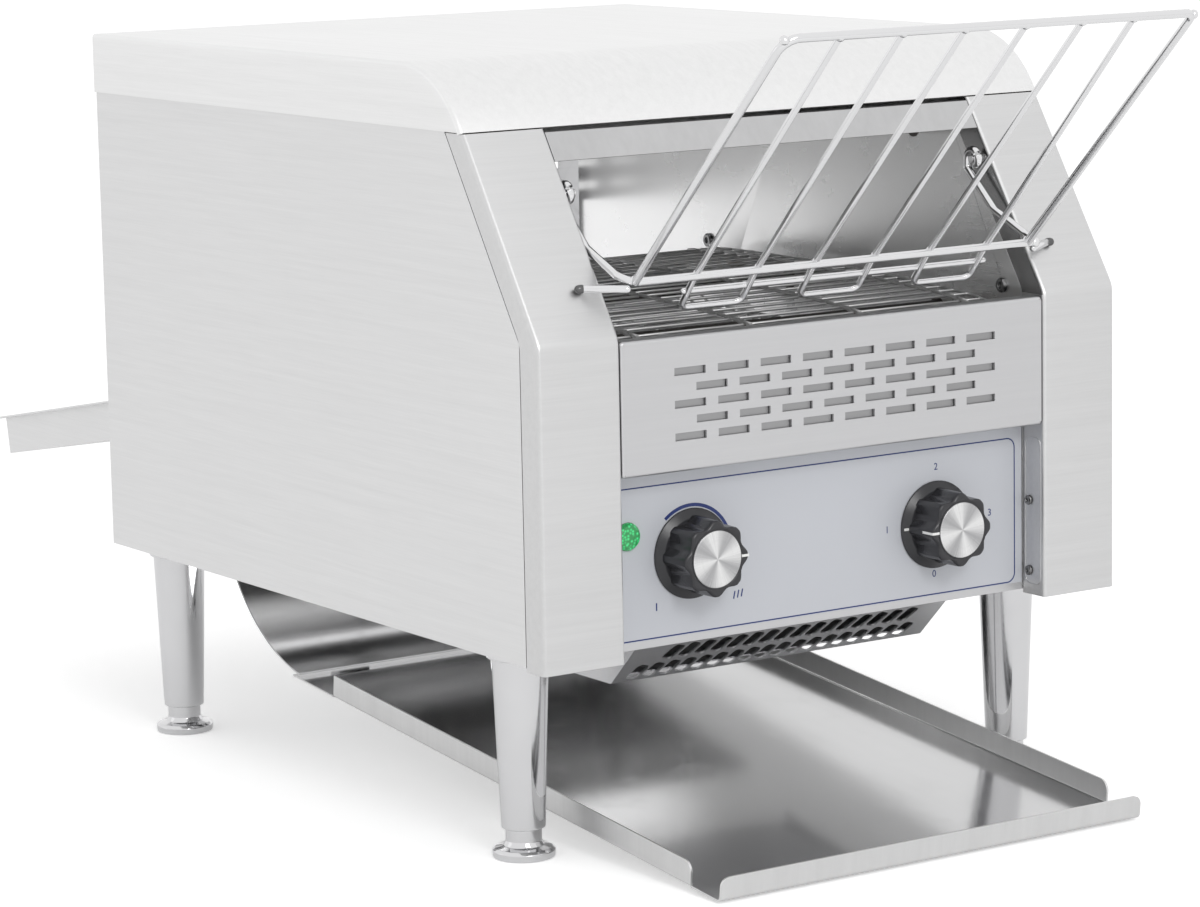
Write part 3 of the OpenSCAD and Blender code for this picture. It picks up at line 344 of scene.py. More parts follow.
def carried(profile, x0, x1):
    """A closed outline of (depth, height) pairs carried along X from x0 to x1, with flat ends."""
    p = np.asarray(profile, float)
    n = len(p)
    points = np.concatenate([np.column_stack([np.full(n, x), p]) for x in (x0, x1)])
    return closed(points, [quads(2, n, wrap_columns=True), np.arange(n)[None], n + np.arange(n)[None, ::-1]])


def bead(centre, radius):
    """A weld bead: a ball whose rings have the cosine and sine of the latitude as radius and height."""
    turn = np.linspace(-math.pi / 2, math.pi / 2, 9)
    profile = np.column_stack([np.cos(turn), np.sin(turn)]) * radius
    profile[[0, -1], 0] = 0
    return turned(profile, centre, (0, 1, 0.3), 12)


# ---------------------------------------------------------------- objects


def new_mesh(name, shells):
    """One mesh from shells of points and faces, written in whole arrays."""
    points = placed(np.concatenate([s[0] for s in shells]))
    starts = np.cumsum([0] + [len(s[0]) for s in shells])
    faces = [f + starts[k] for k, s in enumerate(shells) for f in s[1]]
    loops = np.concatenate([f.ravel() for f in faces]).astype(np.int32)
    sizes = np.concatenate([np.full(len(f), f.shape[1]) for f in faces]).astype(np.int32)
    mesh = bpy.data.meshes.new(name)
    mesh.vertices.add(len(points))
    mesh.vertices.foreach_set("co", points.astype(np.float32).ravel())
    mesh.loops.add(len(loops))
    mesh.loops.foreach_set("vertex_index", loops)
    mesh.polygons.add(len(sizes))
    mesh.polygons.foreach_set("loop_start", np.concatenate([[0], np.cumsum(sizes)[:-1]]).astype(np.int32))
    mesh.polygons.foreach_set("loop_total", sizes)
    mesh.update(calc_edges=True)
    if mesh.validate():
        raise RuntimeError(f"{name}: its faces don't close")
    return mesh


def shown(name, mesh, finish, node, replaces=True, smooth=38.0):
    """Puts a mesh in the scene with its finish, on a CAD node's body, and in that node's place."""
    mesh.shade_smooth()
    mesh.set_sharp_from_angle(angle=math.radians(smooth))
    obj = bpy.data.objects.new(name, mesh)
    bpy.context.scene.collection.objects.link(obj)
    mesh.materials.clear()
    mesh.materials.append(finish)
    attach(obj, NODE_BODY[node])
    if replaces:
        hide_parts(node)
    return obj


def built(name, shells, finish, node, replaces=True, smooth=38.0):
    """A new piece from shells. With replaces off it is added to the CAD node's piece."""
    return shown(name, new_mesh(node if replaces else name, shells), finish, node, replaces, smooth)


def add_bevel(obj, width, angle):
    bevel = obj.modifiers.new("Softened edges", "BEVEL")
    bevel.width = width
    bevel.segments = 2
    bevel.limit_method = "ANGLE"
    bevel.angle_limit = math.radians(angle)
    bevel.use_clamp_overlap = True
    bevel.miter_outer = "MITER_ARC"
    bevel.harden_normals = True


def add_thickness(obj, thickness, edge):
    """Gives a sheet its thickness behind the drawn face, then softens its cut edges."""
    solid = obj.modifiers.new("Sheet", "SOLIDIFY")
    solid.thickness = thickness
    solid.offset = -1.0
    solid.use_even_offset = True
    add_bevel(obj, edge, 60.0)
    return solid


def face_finish(obj, finish, chosen):
    """Puts a second finish on the faces that chosen(centres, normals) picks."""
    mesh = obj.data
    count = len(mesh.polygons)
    centre, normal = np.empty(count * 3), np.empty(count * 3)
    mesh.polygons.foreach_get("center", centre)
    mesh.polygons.foreach_get("normal", normal)
    picked = chosen(centre.reshape(-1, 3), normal.reshape(-1, 3))
    mesh.materials.append(finish)
    mesh.polygons.foreach_set("material_index", np.where(picked, len(mesh.materials) - 1, 0).astype(np.int32))


def refined(node, finish, edge, angle=32.0, join=True):
    """A softened copy of a CAD node: its doubles merged, its flat triangles joined, its edges bevelled.

    A face with many holes stays in triangles, with join off, because one face can't hold them all."""
    work = bmesh.new()
    work.from_mesh(frame["nodes"][node].data)
    bmesh.ops.remove_doubles(work, verts=work.verts, dist=2e-6)
    if join:
        bmesh.ops.dissolve_limit(work, angle_limit=math.radians(0.6), verts=work.verts, edges=work.edges)
    mesh = bpy.data.meshes.new(node)
    work.to_mesh(mesh)
    work.free()
    add_bevel(shown(node + "_sheet", mesh, finish, node, smooth=30.0), edge, angle)


def finish_nodes(finish, nodes):
    """Gives CAD nodes that stay in view their finish."""
    for node in nodes:
        data = frame["nodes"][node].data
        data.materials.clear()
        data.materials.append(finish)


# ---------------------------------------------------------------- finishes


def feed(tree, node, values):
    """Fills a node's inputs by name or number: another node's output is linked, anything else is set."""
    for key, value in values.items():
        socket = node.inputs[key]
        if isinstance(value, bpy.types.NodeSocket):
            tree.links.new(value, socket)
        elif socket.type == "RGBA":
            socket.default_value = (*value, 1.0)
        else:
            socket.default_value = value


def noise(tree, vector, scale, detail=2.0, rough=0.5):
    node = tree.nodes.new("ShaderNodeTexNoise")
    feed(tree, node, {"Vector": vector, "Scale": scale, "Detail": detail, "Roughness": rough})
    return node.outputs["Fac"]


def maths(tree, kind, *values):
    node = tree.nodes.new("ShaderNodeMath")
    node.operation = kind
    feed(tree, node, dict(enumerate(values)))
    return node.outputs[0]


def remap(tree, value, low, high, out_low, out_high):
    node = tree.nodes.new("ShaderNodeMapRange")
    feed(tree, node, dict(enumerate((value, low, high, out_low, out_high))))
    return node.outputs[0]


def mixed(tree, factor, a, b):
    node = tree.nodes.new("ShaderNodeMix")
    node.data_type = "RGBA"
    feed(tree, node, {0: factor, 6: a, 7: b})
    return node.outputs[2]


def new_group(name, setting, value, outputs):
    """An empty node group that takes Vector and one number, and gives the named numbers."""
    group = bpy.data.node_groups.new(name, "ShaderNodeTree")
    group.interface.new_socket(name="Vector", in_out="INPUT", socket_type="NodeSocketVector")
    item = group.interface.new_socket(name=setting, in_out="INPUT", socket_type="NodeSocketFloat")
    item.default_value = value
    for socket in outputs:
        group.interface.new_socket(name=socket, in_out="OUTPUT", socket_type="NodeSocketFloat")
    return group, group.nodes.new("NodeGroupInput").outputs, group.nodes.new("NodeGroupOutput")


def grain_group():
    """Brushed grain: two noises that the Vector already stretches, one fine and one four times wider, added.

    Tone is near 0 where a scratch is dark and near 1 where it is bright; Height is the fine noise alone."""
    if "Brushed grain" in bpy.data.node_groups:
        return bpy.data.node_groups["Brushed grain"]
    group, given, end = new_group("Brushed grain", "Contrast", 1.0, ("Tone", "Height"))
    fine = noise(group, given["Vector"], 1.0, 3.0, 0.65)
    wide = noise(group, given["Vector"], 0.23, 2.0, 0.5)
    both = maths(group, "MULTIPLY_ADD", wide, 0.55, maths(group, "MULTIPLY", fine, 0.45))
    tone = maths(group, "MULTIPLY_ADD", maths(group, "SUBTRACT", both, 0.5), given["Contrast"], 0.5)
    feed(group, end, {"Tone": tone, "Height": fine})
    return group


def handling_group():
    """Handling marks: a soft wide noise for wiped patches and a rare small one for smudges, from 0 to 1."""
    if "Handling marks" in bpy.data.node_groups:
        return bpy.data.node_groups["Handling marks"]
    group, given, end = new_group("Handling marks", "Scale", 9.0, ("Patches", "Smudges"))
    wide = noise(group, given["Vector"], given["Scale"])
    small = noise(group, given["Vector"], maths(group, "MULTIPLY", given["Scale"], 6.0), 4.0)
    patches = remap(group, wide, 0.3, 0.7, 0.0, 1.0)
    feed(group, end, {"Patches": patches, "Smudges": remap(group, small, 0.56, 0.75, 0.0, 1.0)})
    return group


def place_group(tree, group, values):
    node = tree.nodes.new("ShaderNodeGroup")
    node.node_tree = group
    feed(tree, node, values)
    return node.outputs


def new_material(name):
    """An empty material, its tree, its shader and the Object coordinates."""
    material = bpy.data.materials.new(name)
    material.use_nodes = True
    tree = material.node_tree
    tree.nodes.clear()
    out = tree.nodes.new("ShaderNodeOutputMaterial")
    shader = tree.nodes.new("ShaderNodeBsdfPrincipled")
    tree.links.new(shader.outputs["BSDF"], out.inputs["Surface"])
    coordinate = tree.nodes.new("ShaderNodeTexCoord")
    return material, tree, shader, coordinate.outputs["Object"]


def once(make):
    """A finish is made the first time its name is asked for, and the same one is handed out after that."""

    def kept(name, *values):
        return bpy.data.materials.get(name) or make(name, *values)

    return kept


def mapped(tree, vector, scale, centre=(0, 0, 0)):
    """Coordinates moved so that centre is the origin, then multiplied by scale."""
    shift = tree.nodes.new("ShaderNodeMapping")
    feed(tree, shift, {"Vector": vector, "Location": tuple(-c for c in centre)})
    node = tree.nodes.new("ShaderNodeMapping")
    feed(tree, node, {"Vector": shift.outputs["Vector"], "Scale": scale})
    return node.outputs["Vector"]


def add_bump(tree, shader, height, strength, distance):
    node = tree.nodes.new("ShaderNodeBump")
    feed(tree, node, {"Height": height, "Strength": strength, "Distance": distance})
    tree.links.new(node.outputs["Normal"], shader.inputs["Normal"])


def shade(tint, factor):
    return tuple(min(1.0, c * factor) for c in tint)


@once
def steel_finish(name, tint, rough, along, grain=1.0, fine=1500.0, coarse=36.0):
    """Brushed or mill-finish steel: grain drawn out along one axis, wiped patches in the roughness."""
    material, tree, shader, place = new_material(name)
    scale = [fine] * 3
    scale["xyz".index(along)] = coarse
    lines = place_group(tree, grain_group(), {"Vector": mapped(tree, place, scale), "Contrast": 1.6})
    marks = place_group(tree, handling_group(), {"Vector": place})
    dark, light = shade(tint, 1 - 0.16 * grain), shade(tint, 1 + 0.09 * grain)
    base = mixed(tree, lines["Tone"], dark, light)
    base = mixed(tree, maths(tree, "MULTIPLY", marks["Patches"], 0.2), base, shade(tint, 0.96))
    spread = remap(tree, lines["Tone"], 0.2, 0.8, rough + 0.05 * grain, rough - 0.05 * grain)
    spread = maths(tree, "MULTIPLY_ADD", marks["Patches"], 0.05, spread)
    spread = maths(tree, "MULTIPLY_ADD", marks["Smudges"], 0.04, spread)
    feed(tree, shader, {"Base Color": base, "Roughness": spread, "Metallic": 1.0})
    add_bump(tree, shader, lines["Height"], 0.25 * grain, 0.00006)
    return material


@once
def bright_finish(name, tint, rough, dull, speck=0.0):
    """Plated or drawn metal: a smooth bright skin with faint cloudy patches and fine specks."""
    material, tree, shader, place = new_material(name)
    marks = place_group(tree, handling_group(), {"Vector": place, "Scale": 26.0})
    base = mixed(tree, maths(tree, "MULTIPLY", marks["Patches"], 0.5), tint, shade(tint, 0.9))
    if speck:
        dots = remap(tree, noise(tree, place, 700.0), 0.6, 0.72, 0.0, speck)
        base = mixed(tree, dots, base, shade(tint, 0.45))
    spread = maths(tree, "MULTIPLY_ADD", marks["Patches"], dull, rough)
    spread = maths(tree, "MULTIPLY_ADD", marks["Smudges"], dull, spread)
    feed(tree, shader, {"Base Color": base, "Roughness": spread, "Metallic": 1.0})
    add_bump(tree, shader, noise(tree, place, 320.0), 0.06, 0.0001)
    return material


@once
def plastic_finish(name, tint, rough, coat=0.0, speckle=0.25, grit=0.12):
    """Moulded plastic: a fine leather-like skin, tiny tone changes and wiped patches."""
    material, tree, shader, place = new_material(name)
    marks = place_group(tree, handling_group(), {"Vector": place, "Scale": 30.0})
    skin = noise(tree, place, 1800.0, 3.0)
    tone = remap(tree, skin, 0.35, 0.65, 0.0, 1.0)
    base = mixed(tree, tone, shade(tint, 1 - speckle), shade(tint, 1 + speckle))
    smudged = maths(tree, "MULTIPLY", marks["Smudges"], speckle * 1.5)
    base = mixed(tree, smudged, base, shade(tint, 1.3))
    spread = maths(tree, "MULTIPLY_ADD", marks["Patches"], 0.1, rough)
    feed(tree, shader, {"Base Color": base, "Roughness": spread, "Coat Weight": coat, "Coat Roughness": 0.08})
    add_bump(tree, shader, skin, grit, 0.0001)
    return material


def sheet_side(c):
    return steel_finish("brushed_sheet_lengthwise", c.steel, c.rough, "y", c.grain * 2)


def cover_finish(c):
    return steel_finish("brushed_cover", c.cover, c.rough, "y", c.grain * 2)


def pillar_finish(c):
    return steel_finish("brushed_pillar", c.pillar, c.rough, "x", c.grain * 2)


def header_finish(c):
    return steel_finish("brushed_header", c.header, c.rough, "z", c.grain * 3.5, 190.0, 8.0)


def vent_finish(c):
    return steel_finish("brushed_vent_panel", c.vent, c.rough, "x", c.grain * 1.2)


# Near black steel on the control box: painted shade under the belt
def shaded_inner_steel(c):
    return steel_finish("inner_sheet", c.inner, 0.4, "y", c.grain * 1.5, 700.0)


def wall_finish(c):
    return steel_finish("smooth_wall", c.wall, 0.24, "y", c.grain * 0.5, 700.0, 12.0)


def tray_finish(c):
    return steel_finish("tray_sheet", c.tray, 0.11, "y", c.grain * 0.6, 700.0, 14.0)


# A darker copy of the inner wall's steel: painted shade on the pillars' inner returns
def shaded_return_steel(c):
    return steel_finish("inner_return", shade(c.wall, 0.42), 0.2, "z", c.grain, 700.0, 12.0)


def tray_back_finish(c):
    return steel_finish("tray_outside", c.tray_back, c.rough, "z", c.grain * 2.5, 260.0, 10.0)


# ---------------------------------------------------------------- cabinet


def lean_depth(z, soft=2.0):
    """How far the leaning face stands back at height z: zero below the knee, LEAN times the rise above it.

    The corner is eased by taking half of rise + sqrt(rise^2 + soft^2)."""
    rise = z - KNEE_Z
    return LEAN * (rise + np.sqrt(rise * rise + soft * soft)) / 2


def cover_shell(fold):
    """The cover's outer face: the roll and flat top as a profile, carried across, with a fold on each side.

    The profile runs from the front lip round the roll of radius ROLL_R, then straight back. At each of its
    points the section goes up the flange, round a fold of radius fold from sideways to the profile's own
    normal, across, and down the other side."""
    start = math.pi - math.asin((LIP_Z - (BODY_H - ROLL_R)) / ROLL_R)
    turn = np.linspace(start, math.pi / 2, 34)
    flat = np.linspace(ROLL_D, BODY_D, 12)[1:]
    d = np.concatenate([ROLL_D + ROLL_R * np.cos(turn), flat])
    z = np.concatenate([BODY_H - ROLL_R + ROLL_R * np.sin(turn), np.full_like(flat, BODY_H)])
    nd = np.concatenate([np.cos(turn), np.zeros_like(flat)])
    nz = np.concatenate([np.sin(turn), np.ones_like(flat)])
    cd, cz = d - fold * nd, z - fold * nz
    low = np.minimum(LIP_Z, cz - 0.01)
    phi = np.linspace(math.pi / 2, 0, 8)
    left = np.concatenate([[-HALF_W, -HALF_W], -HALF_W + fold - fold * np.sin(phi)])
    middle = np.linspace(-HALF_W + fold, HALF_W - fold, 7)[1:-1]
    side_d = np.column_stack([cd, cd, cd[:, None] + fold * np.cos(phi) * nd[:, None]])
    side_z = np.column_stack([low, low + (cz - low) * 0.5, cz[:, None] + fold * np.cos(phi) * nz[:, None]])
    return sheet(
        np.concatenate([left, middle, -left[::-1]]),
        np.column_stack([side_d, *[d] * len(middle), side_d[:, ::-1]]),
        np.column_stack([side_z, *[z] * len(middle), side_z[:, ::-1]]),
        (0, -0.3, 1),
    )


class TOASTER_OT_cover(bpy.types.Operator):
    """Rolled top cover with its folded sides and the return under its front lip"""

    bl_idname = "toaster.cover"
    bl_label = "Top cover"

    def execute(self, context):
        size = context.scene.toaster_sheet
        finish = cover_finish(context.scene.toaster_finish)
        cover = built("top_cover_sheet", [cover_shell(mm(size.fold))], finish, "top_cover")
        add_thickness(cover, size.thickness, size.edge)
        back = LIP_D + 12
        lip = [[back, LIP_Z], [LIP_D + 0.4, LIP_Z], [LIP_D + 1.0, LIP_Z + 1.2], [back, LIP_Z + 1.2]]
        lip = carried(rounded(lip, [0, 0.3, 0, 0]), -SIDE_X, SIDE_X)
        built("top_cover_lip", [lip], finish, "top_cover", replaces=False)
        return {"FINISHED"}


# The embossed line on a pillar's inner return: front, back, bottom and top, its corners and its wire
EMBOSS = (3.0, 15.5, 112.0, 191.0)
EMBOSS_CORNER = 4.0
EMBOSS_R = 0.2


def pillar_shell(side, fold):
    """A pillar's outer face: a U section of outer return, face and inner return, carried up the front.

    Every point of the section keeps its x and moves back by lean_depth(z)."""
    section = rounded([[SIDE_X, 16.0], [SIDE_X, 0.0], [WALL_X, 0.0], [WALL_X, PANEL_D]], fold, 7)
    z = [[106.0, 130.0, 190.0, 250.0], np.linspace(262, 276, 11), [300.0, 335.0, LIP_Z - 0.5]]
    z = np.concatenate(z)[:, None]
    return sheet(section[None, :, 0] * side, section[None, :, 1] + lean_depth(z), z, (0, -1, 0.2))


class TOASTER_OT_pillars(bpy.types.Operator):
    """Folded front pillars with the embossed line on their inner returns"""

    bl_idname = "toaster.pillars"
    bl_label = "Front pillars"

    def execute(self, context):
        size, finish = context.scene.toaster_sheet, context.scene.toaster_finish
        line = rounded_box(*EMBOSS, EMBOSS_CORNER, 7)
        for name, side in (("left", -1), ("right", 1)):
            node = name + "_front_pillar"
            shell = pillar_shell(side, mm(size.fold))
            pillar = built(node + "_sheet", [shell], pillar_finish(finish), node)
            # painted shade: the inner return above the vent panel gets a darker tint
            face_finish(
                pillar,
                shaded_return_steel(finish),
                lambda at, normal: (normal[:, 0] * side < -0.7) & (at[:, 2] > VENT_TOP / 1000),
            )
            add_thickness(pillar, size.thickness, size.edge)
            raised = np.column_stack([np.full(len(line), side * (WALL_X - 0.05)), line])
            emboss = [wire(raised, EMBOSS_R, (1, 0, 0), 8, joined=True)]
            built(node + "_emboss", emboss, pillar_finish(finish), node, replaces=False)
        return {"FINISHED"}


# Half width, bottom and top, pitch and size of the slots across and up, depth of lip and side returns
VENT_W = 133.9
VENT_BASE, VENT_TOP = 199.0, 267.0
VENT_PITCH = (26.4, 8.2)
VENT_SLOT = (19.0, 4.0)
VENT_ROWS = 5
VENT_LIP = 10.0
VENT_RETURN = 11.0


def vent_shells(fold):
    """The vent panel's outer face: a profile of lip, fold, face, fold and lip carried across between the side
    folds, a folded return on each side, and a ball corner of the fold's radius at each corner.

    The columns and rows of the flat face stand at the ends of the slots, so a slot is a cell left out."""
    (pitch_x, pitch_z), (slot_l, slot_h) = VENT_PITCH, VENT_SLOT
    even = (np.arange(8) - 3.5) * pitch_x
    odd = (np.arange(7) - 3.0) * pitch_x
    ends = np.concatenate([even, odd])
    edge = VENT_W - fold
    x = np.unique(np.concatenate([[-edge, edge], ends - slot_l / 2, ends + slot_l / 2]).round(4))
    middle = (VENT_BASE + VENT_TOP) / 2 + (np.arange(VENT_ROWS) - (VENT_ROWS - 1) / 2) * pitch_z
    rows = np.sort(np.concatenate([middle - slot_h / 2, middle + slot_h / 2]))
    face = np.column_stack([np.zeros(len(rows)), rows])
    low, high = [[PANEL_D, VENT_BASE], [0, VENT_BASE]], [[0, VENT_TOP], [VENT_LIP, VENT_TOP]]
    bends = np.concatenate([[0, fold], np.zeros(len(rows)), [fold, 0]])
    path = rounded(np.concatenate([low, face, high]), bends, 7)
    points, (faces,) = sheet(x[None], path[:, :1] + VENT_D, path[:, 1:], (0, -1, 0))
    at = points[faces].mean(axis=1)
    keep = np.ones(len(faces), bool)
    for k, z in enumerate(middle):
        centres = odd if k % 2 else even
        off = np.abs(at[:, 0][:, None] - centres[None]).min(axis=1)
        keep &= ~((np.abs(at[:, 2] - z) < slot_h / 2) & (off < slot_l / 2) & (at[:, 1] < VENT_D + 0.1))
    shells = [(points, [faces[keep]])]
    b, a = np.meshgrid(np.linspace(0, math.pi / 2, 8), np.linspace(0, math.pi / 2, 8)[1:], indexing="ij")
    section = rounded([[edge - 0.001, 0], [VENT_W, 0], [VENT_W, VENT_RETURN]], [0, fold, 0], 7)
    ends = np.array([VENT_BASE + fold, VENT_TOP - fold])
    for side in (-1, 1):
        across, back = side * section[None, :, 0], section[None, :, 1] + VENT_D
        shells.append(sheet(across, back, ends[:, None], (side * 0.3, -1, 0)))
        for up, z0 in zip((-1, 1), ends):
            ball_x = side * (edge + fold * np.sin(a) * np.cos(b))
            ball_z = z0 + up * fold * np.sin(a) * np.sin(b)
            shells.append(sheet(ball_x, VENT_D + fold - fold * np.cos(a), ball_z, (side, -1, up)))
    return shells


class TOASTER_OT_panels(bpy.types.Operator):
    """Side, rear and front panels, the header strip and the rear chute, with softened cut edges"""

    bl_idname = "toaster.panels"
    bl_label = "Panels"

    def execute(self, context):
        size, finish = context.scene.toaster_sheet, context.scene.toaster_finish
        for node in ("left_side_panel", "right_side_panel", "rear_chute"):
            refined(node, sheet_side(finish), size.edge)
        for node in ("rear_panel", "control_panel"):
            refined(node, vent_finish(finish), size.edge)
        vent = built("vent_panel_sheet", vent_shells(mm(size.fold) * 0.8), vent_finish(finish), "vent_panel")
        add_thickness(vent, size.thickness, size.edge * 0.5)
        refined("header_strip", header_finish(finish), size.edge)
        return {"FINISHED"}


# (depth, height) on the inner walls
WALL_BOLTS = ((34.0, 270.0), (303.0, 272.0))
PANEL_SCREWS = ((12.5, 119.0), (12.5, 157.0))


def wall_fasteners(profile, x, places):
    """A turned head at each (depth, height) of both inner walls, its profile starting behind the wall."""
    return [turned(profile, (side * x, d, z), (-side, 0, 0), 32) for side in (-1, 1) for d, z in places]


class TOASTER_OT_walls(bpy.types.Operator):
    """Smooth inner walls beside the belt, with the bolts and screws that hold them"""

    bl_idname = "toaster.walls"
    bl_label = "Inner walls"

    def execute(self, context):
        finish = context.scene.toaster_finish
        for node in ("left_chassis_plate", "right_chassis_plate"):
            refined(node, wall_finish(finish), 0.0002, join=False)
        metal = bright_finish("bolt_steel", finish.wire, 0.2, 0.1, 0.2)
        washer = [[0, -6], [1.7, -6], [1.7, 0.02], [4.0, 0.02], [4.0, 1.5]]
        socket = [[3.2, 2.2], [1.8, 2.2], [1.5, 1.0], [0, 1.0]]
        bolt = rounded(washer + socket, [0, 0.2, 0, 0.1, 0.5, 0.5, 0.2, 0.2, 0], 3)
        built("wall_bolt_heads", wall_fasteners(bolt, WALL_X, WALL_BOLTS), metal, "wall_bolts")
        pan = rounded(
            [[0, -4.4], [1.6, -4.4], [1.6, 0.02], [2.7, 0.02], [2.6, 0.7], [1.1, 1.35], [0.8, 0.3], [0, 0.2]],
            [0, 0.2, 0, 0.1, 0.7, 0.1, 0.1, 0],
            3,
        )
        built("panel_screw_heads", wall_fasteners(pan, WALL_X - 0.4, PANEL_SCREWS), metal, "panel_screws")
        return {"FINISHED"}


class TOASTER_OT_guard(bpy.types.Operator):
    """Slotted guard under the controls"""

    bl_idname = "toaster.guard"
    bl_label = "Lower guard"

    def execute(self, context):
        refined("lower_guard", vent_finish(context.scene.toaster_finish), 0.00015)
        return {"FINISHED"}


# ---------------------------------------------------------------- slide and tray

# The tray's front as (depth, height), its slope, length, half width, height and sheet
TRAY_FRONT = (-77.0, 0.6)
TRAY_PITCH = math.radians(5.8)
TRAY_L = 416.0
TRAY_HALF = 134.0
TRAY_H = 13.0
TRAY_SHEET = 1.2
# Runs where the side edges begin and end, and the radii that cut the lip's and the edges' top corners
EDGE_FROM, EDGE_TO = 25.5, 371.0
LIP_CORNER = 5.0
EDGE_CORNER = 6.0


def on_tray(v, w):
    """A point v along the tray's floor and w above its underside as (depth, height), turned by the pitch."""
    return (
        TRAY_FRONT[0] + v * math.cos(TRAY_PITCH) - w * math.sin(TRAY_PITCH),
        TRAY_FRONT[1] + v * math.sin(TRAY_PITCH) + w * math.cos(TRAY_PITCH),
    )


def tray_shells(fold):
    """Floor with front lip, and two side edges, as faces seen from above.

    The floor is a path of (run, rise) that comes up to the lip round a fold, carried across with a half width
    that is less by the fold where a side edge stands. A side edge is a path of (x, rise) round the same fold,
    carried along the run. The top corners of lip and edges are cut back by a quarter circle."""
    t = TRAY_SHEET
    runs = [t, t, EDGE_FROM, EDGE_FROM + 0.5, EDGE_TO, EDGE_TO + 0.5, TRAY_L]
    path = rounded(np.column_stack([runs, [TRAY_H] + [t] * 6]), [0, fold, 0, 0, 0, 0, 0], 6)[1:]
    v, w = path[:, 0], path[:, 1]
    wide = np.where((v > EDGE_FROM + 0.2) & (v < EDGE_TO + 0.2), TRAY_HALF - t - fold, TRAY_HALF)
    rise = np.linspace(1, 0, 7)
    cut = LIP_CORNER * (1 - np.sqrt(1 - rise**2))
    v = np.concatenate([np.full(7, t), v])
    w = np.concatenate([TRAY_H - LIP_CORNER * (1 - rise), w])
    wide = np.concatenate([TRAY_HALF - cut, wide])
    d, z = on_tray(v[:, None], w[:, None])
    shells = [sheet(wide[:, None] * np.linspace(-1, 1, 9)[None], d, z, (0, 0, 1))]
    inner = TRAY_HALF - t
    path = rounded([[inner - fold - 0.01, t], [inner, t], [inner, TRAY_H]], [0, fold, 0], 6)
    quarter = np.linspace(0, math.pi / 2, 7)
    run = np.concatenate([EDGE_FROM + EDGE_CORNER * (1 - np.cos(quarter)), [EDGE_TO * 0.5, EDGE_TO]])
    top = np.concatenate([TRAY_H - EDGE_CORNER * (1 - np.sin(quarter)), [TRAY_H, TRAY_H]])
    d, z = on_tray(run[:, None], np.minimum(path[None, :, 1], top[:, None]))
    for side in (-1, 1):
        shells.append(sheet(side * path[None, :, 0], d, z, (-side, 0, 0.2)))
    return shells


class TOASTER_OT_tray(bpy.types.Operator):
    """Pull-out receiving tray with its folded lip and side edges, bright inside and brushed outside"""

    bl_idname = "toaster.tray"
    bl_label = "Receiving tray"

    def execute(self, context):
        size, finish = context.scene.toaster_sheet, context.scene.toaster_finish
        shells = tray_shells(mm(size.tray_fold))
        tray = built("receiving_tray_sheet", shells, tray_finish(finish), "receiving_tray")
        face_finish(tray, tray_back_finish(finish), lambda at, normal: np.abs(normal[:, 0]) > 0.7)
        solid = add_thickness(tray, size.thickness, size.edge * 0.8)
        solid.material_offset = solid.material_offset_rim = 1
        return {"FINISHED"}


class TOASTER_OT_slide(bpy.types.Operator):
    """Curved discharge slide"""

    bl_idname = "toaster.slide"
    bl_label = "Discharge slide"

    def execute(self, context):
        refined("discharge_slide", tray_finish(context.scene.toaster_finish), 0.0002, angle=40)
        return {"FINISHED"}


# ---------------------------------------------------------------- legs

# Leg and foot as (radius, height), each corner with its own radius
LEG = [[9.7, 20], [9.7, 15], [11.4, 15], [11.4, 17], [14.7, 103], [16.8, 103.4], [16.8, 108], [0, 108]]
LEG_R = [0, 0.4, 0.9, 0, 0.6, 0.5, 0, 0]
LEG_BORE = [[0, 60], [9.7, 60]]
FOOT = [[0, 0], [16.0, 0], [16.3, 3.6], [14.6, 5.0], [10.6, 6.0], [9.3, 8.5], [9.3, 39], [0, 39]]
FOOT_R = [0, 0.5, 0.9, 0.8, 1.2, 1.5, 0.6, 0]


class TOASTER_OT_legs(bpy.types.Operator):
    """Tapered plated legs and their levelling feet, turned"""

    bl_idname = "toaster.legs"
    bl_label = "Legs and feet"

    def execute(self, context):
        finish = bright_finish("plated_leg", context.scene.toaster_finish.chrome, 0.07, 0.05)
        leg = np.concatenate([LEG_BORE, rounded(LEG, LEG_R)])
        foot = rounded(FOOT, FOOT_R)
        for place in ("front_left", "front_right", "rear_left", "rear_right"):
            low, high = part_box(place + "_leg")
            centre = ((low.x + high.x) * 500, (low.y + high.y) * 500 - FRONT, 0)
            built(place + "_leg_tube", [turned(leg, centre, (0, 0, 1), 72)], finish, place + "_leg")
            built(place + "_foot_disc", [turned(foot, centre, (0, 0, 1), 72)], finish, place + "_foot")
        return {"FINISHED"}


# ---------------------------------------------------------------- loading rack

# (depth, height) of the lower bar, the top bar, the light wires' turn and the bar across them
RACK_LOW = (-2.6, 296.6)
RACK_HIGH = (-124.6, 420.2)
RACK_TOE = (12.9, 279.5)
TOE_BAR = (6.9, 288.4)
# Ends in x of the lower bar and of the bar across the toes; x of each wire at the lower and the top bar
LOW_BAR_X = (-128.5, 126.0)
TOE_BAR_X = (-91.5, 99.0)
WIRE_LOW_X = (-126.8, -89.6, -52.3, -16.3, 20.9, 56.6, 94.2, 120.7)
WIRE_HIGH_X = (-124.1, -91.8, -54.8, -17.2, 20.0, 55.3, 88.1, 126.8)
# How far the light wires lie over the bars
RACK_LIFT = 1.3
# Hooks and rests as (x, side), the right rest's tip, and both ends of the bare cap on it
HOOK_X = ((-131.6, -1), (128.0, 1))
HOOK_R = 4.6
REST_X = ((-131.0, -1), (126.0, 1))
REST_TIP = np.array([147.6, 12.9, 293.6])
CAP_FROM, CAP_TO = (147.9, 12.9, 293.59), (149.6, 13.06, 293.56)


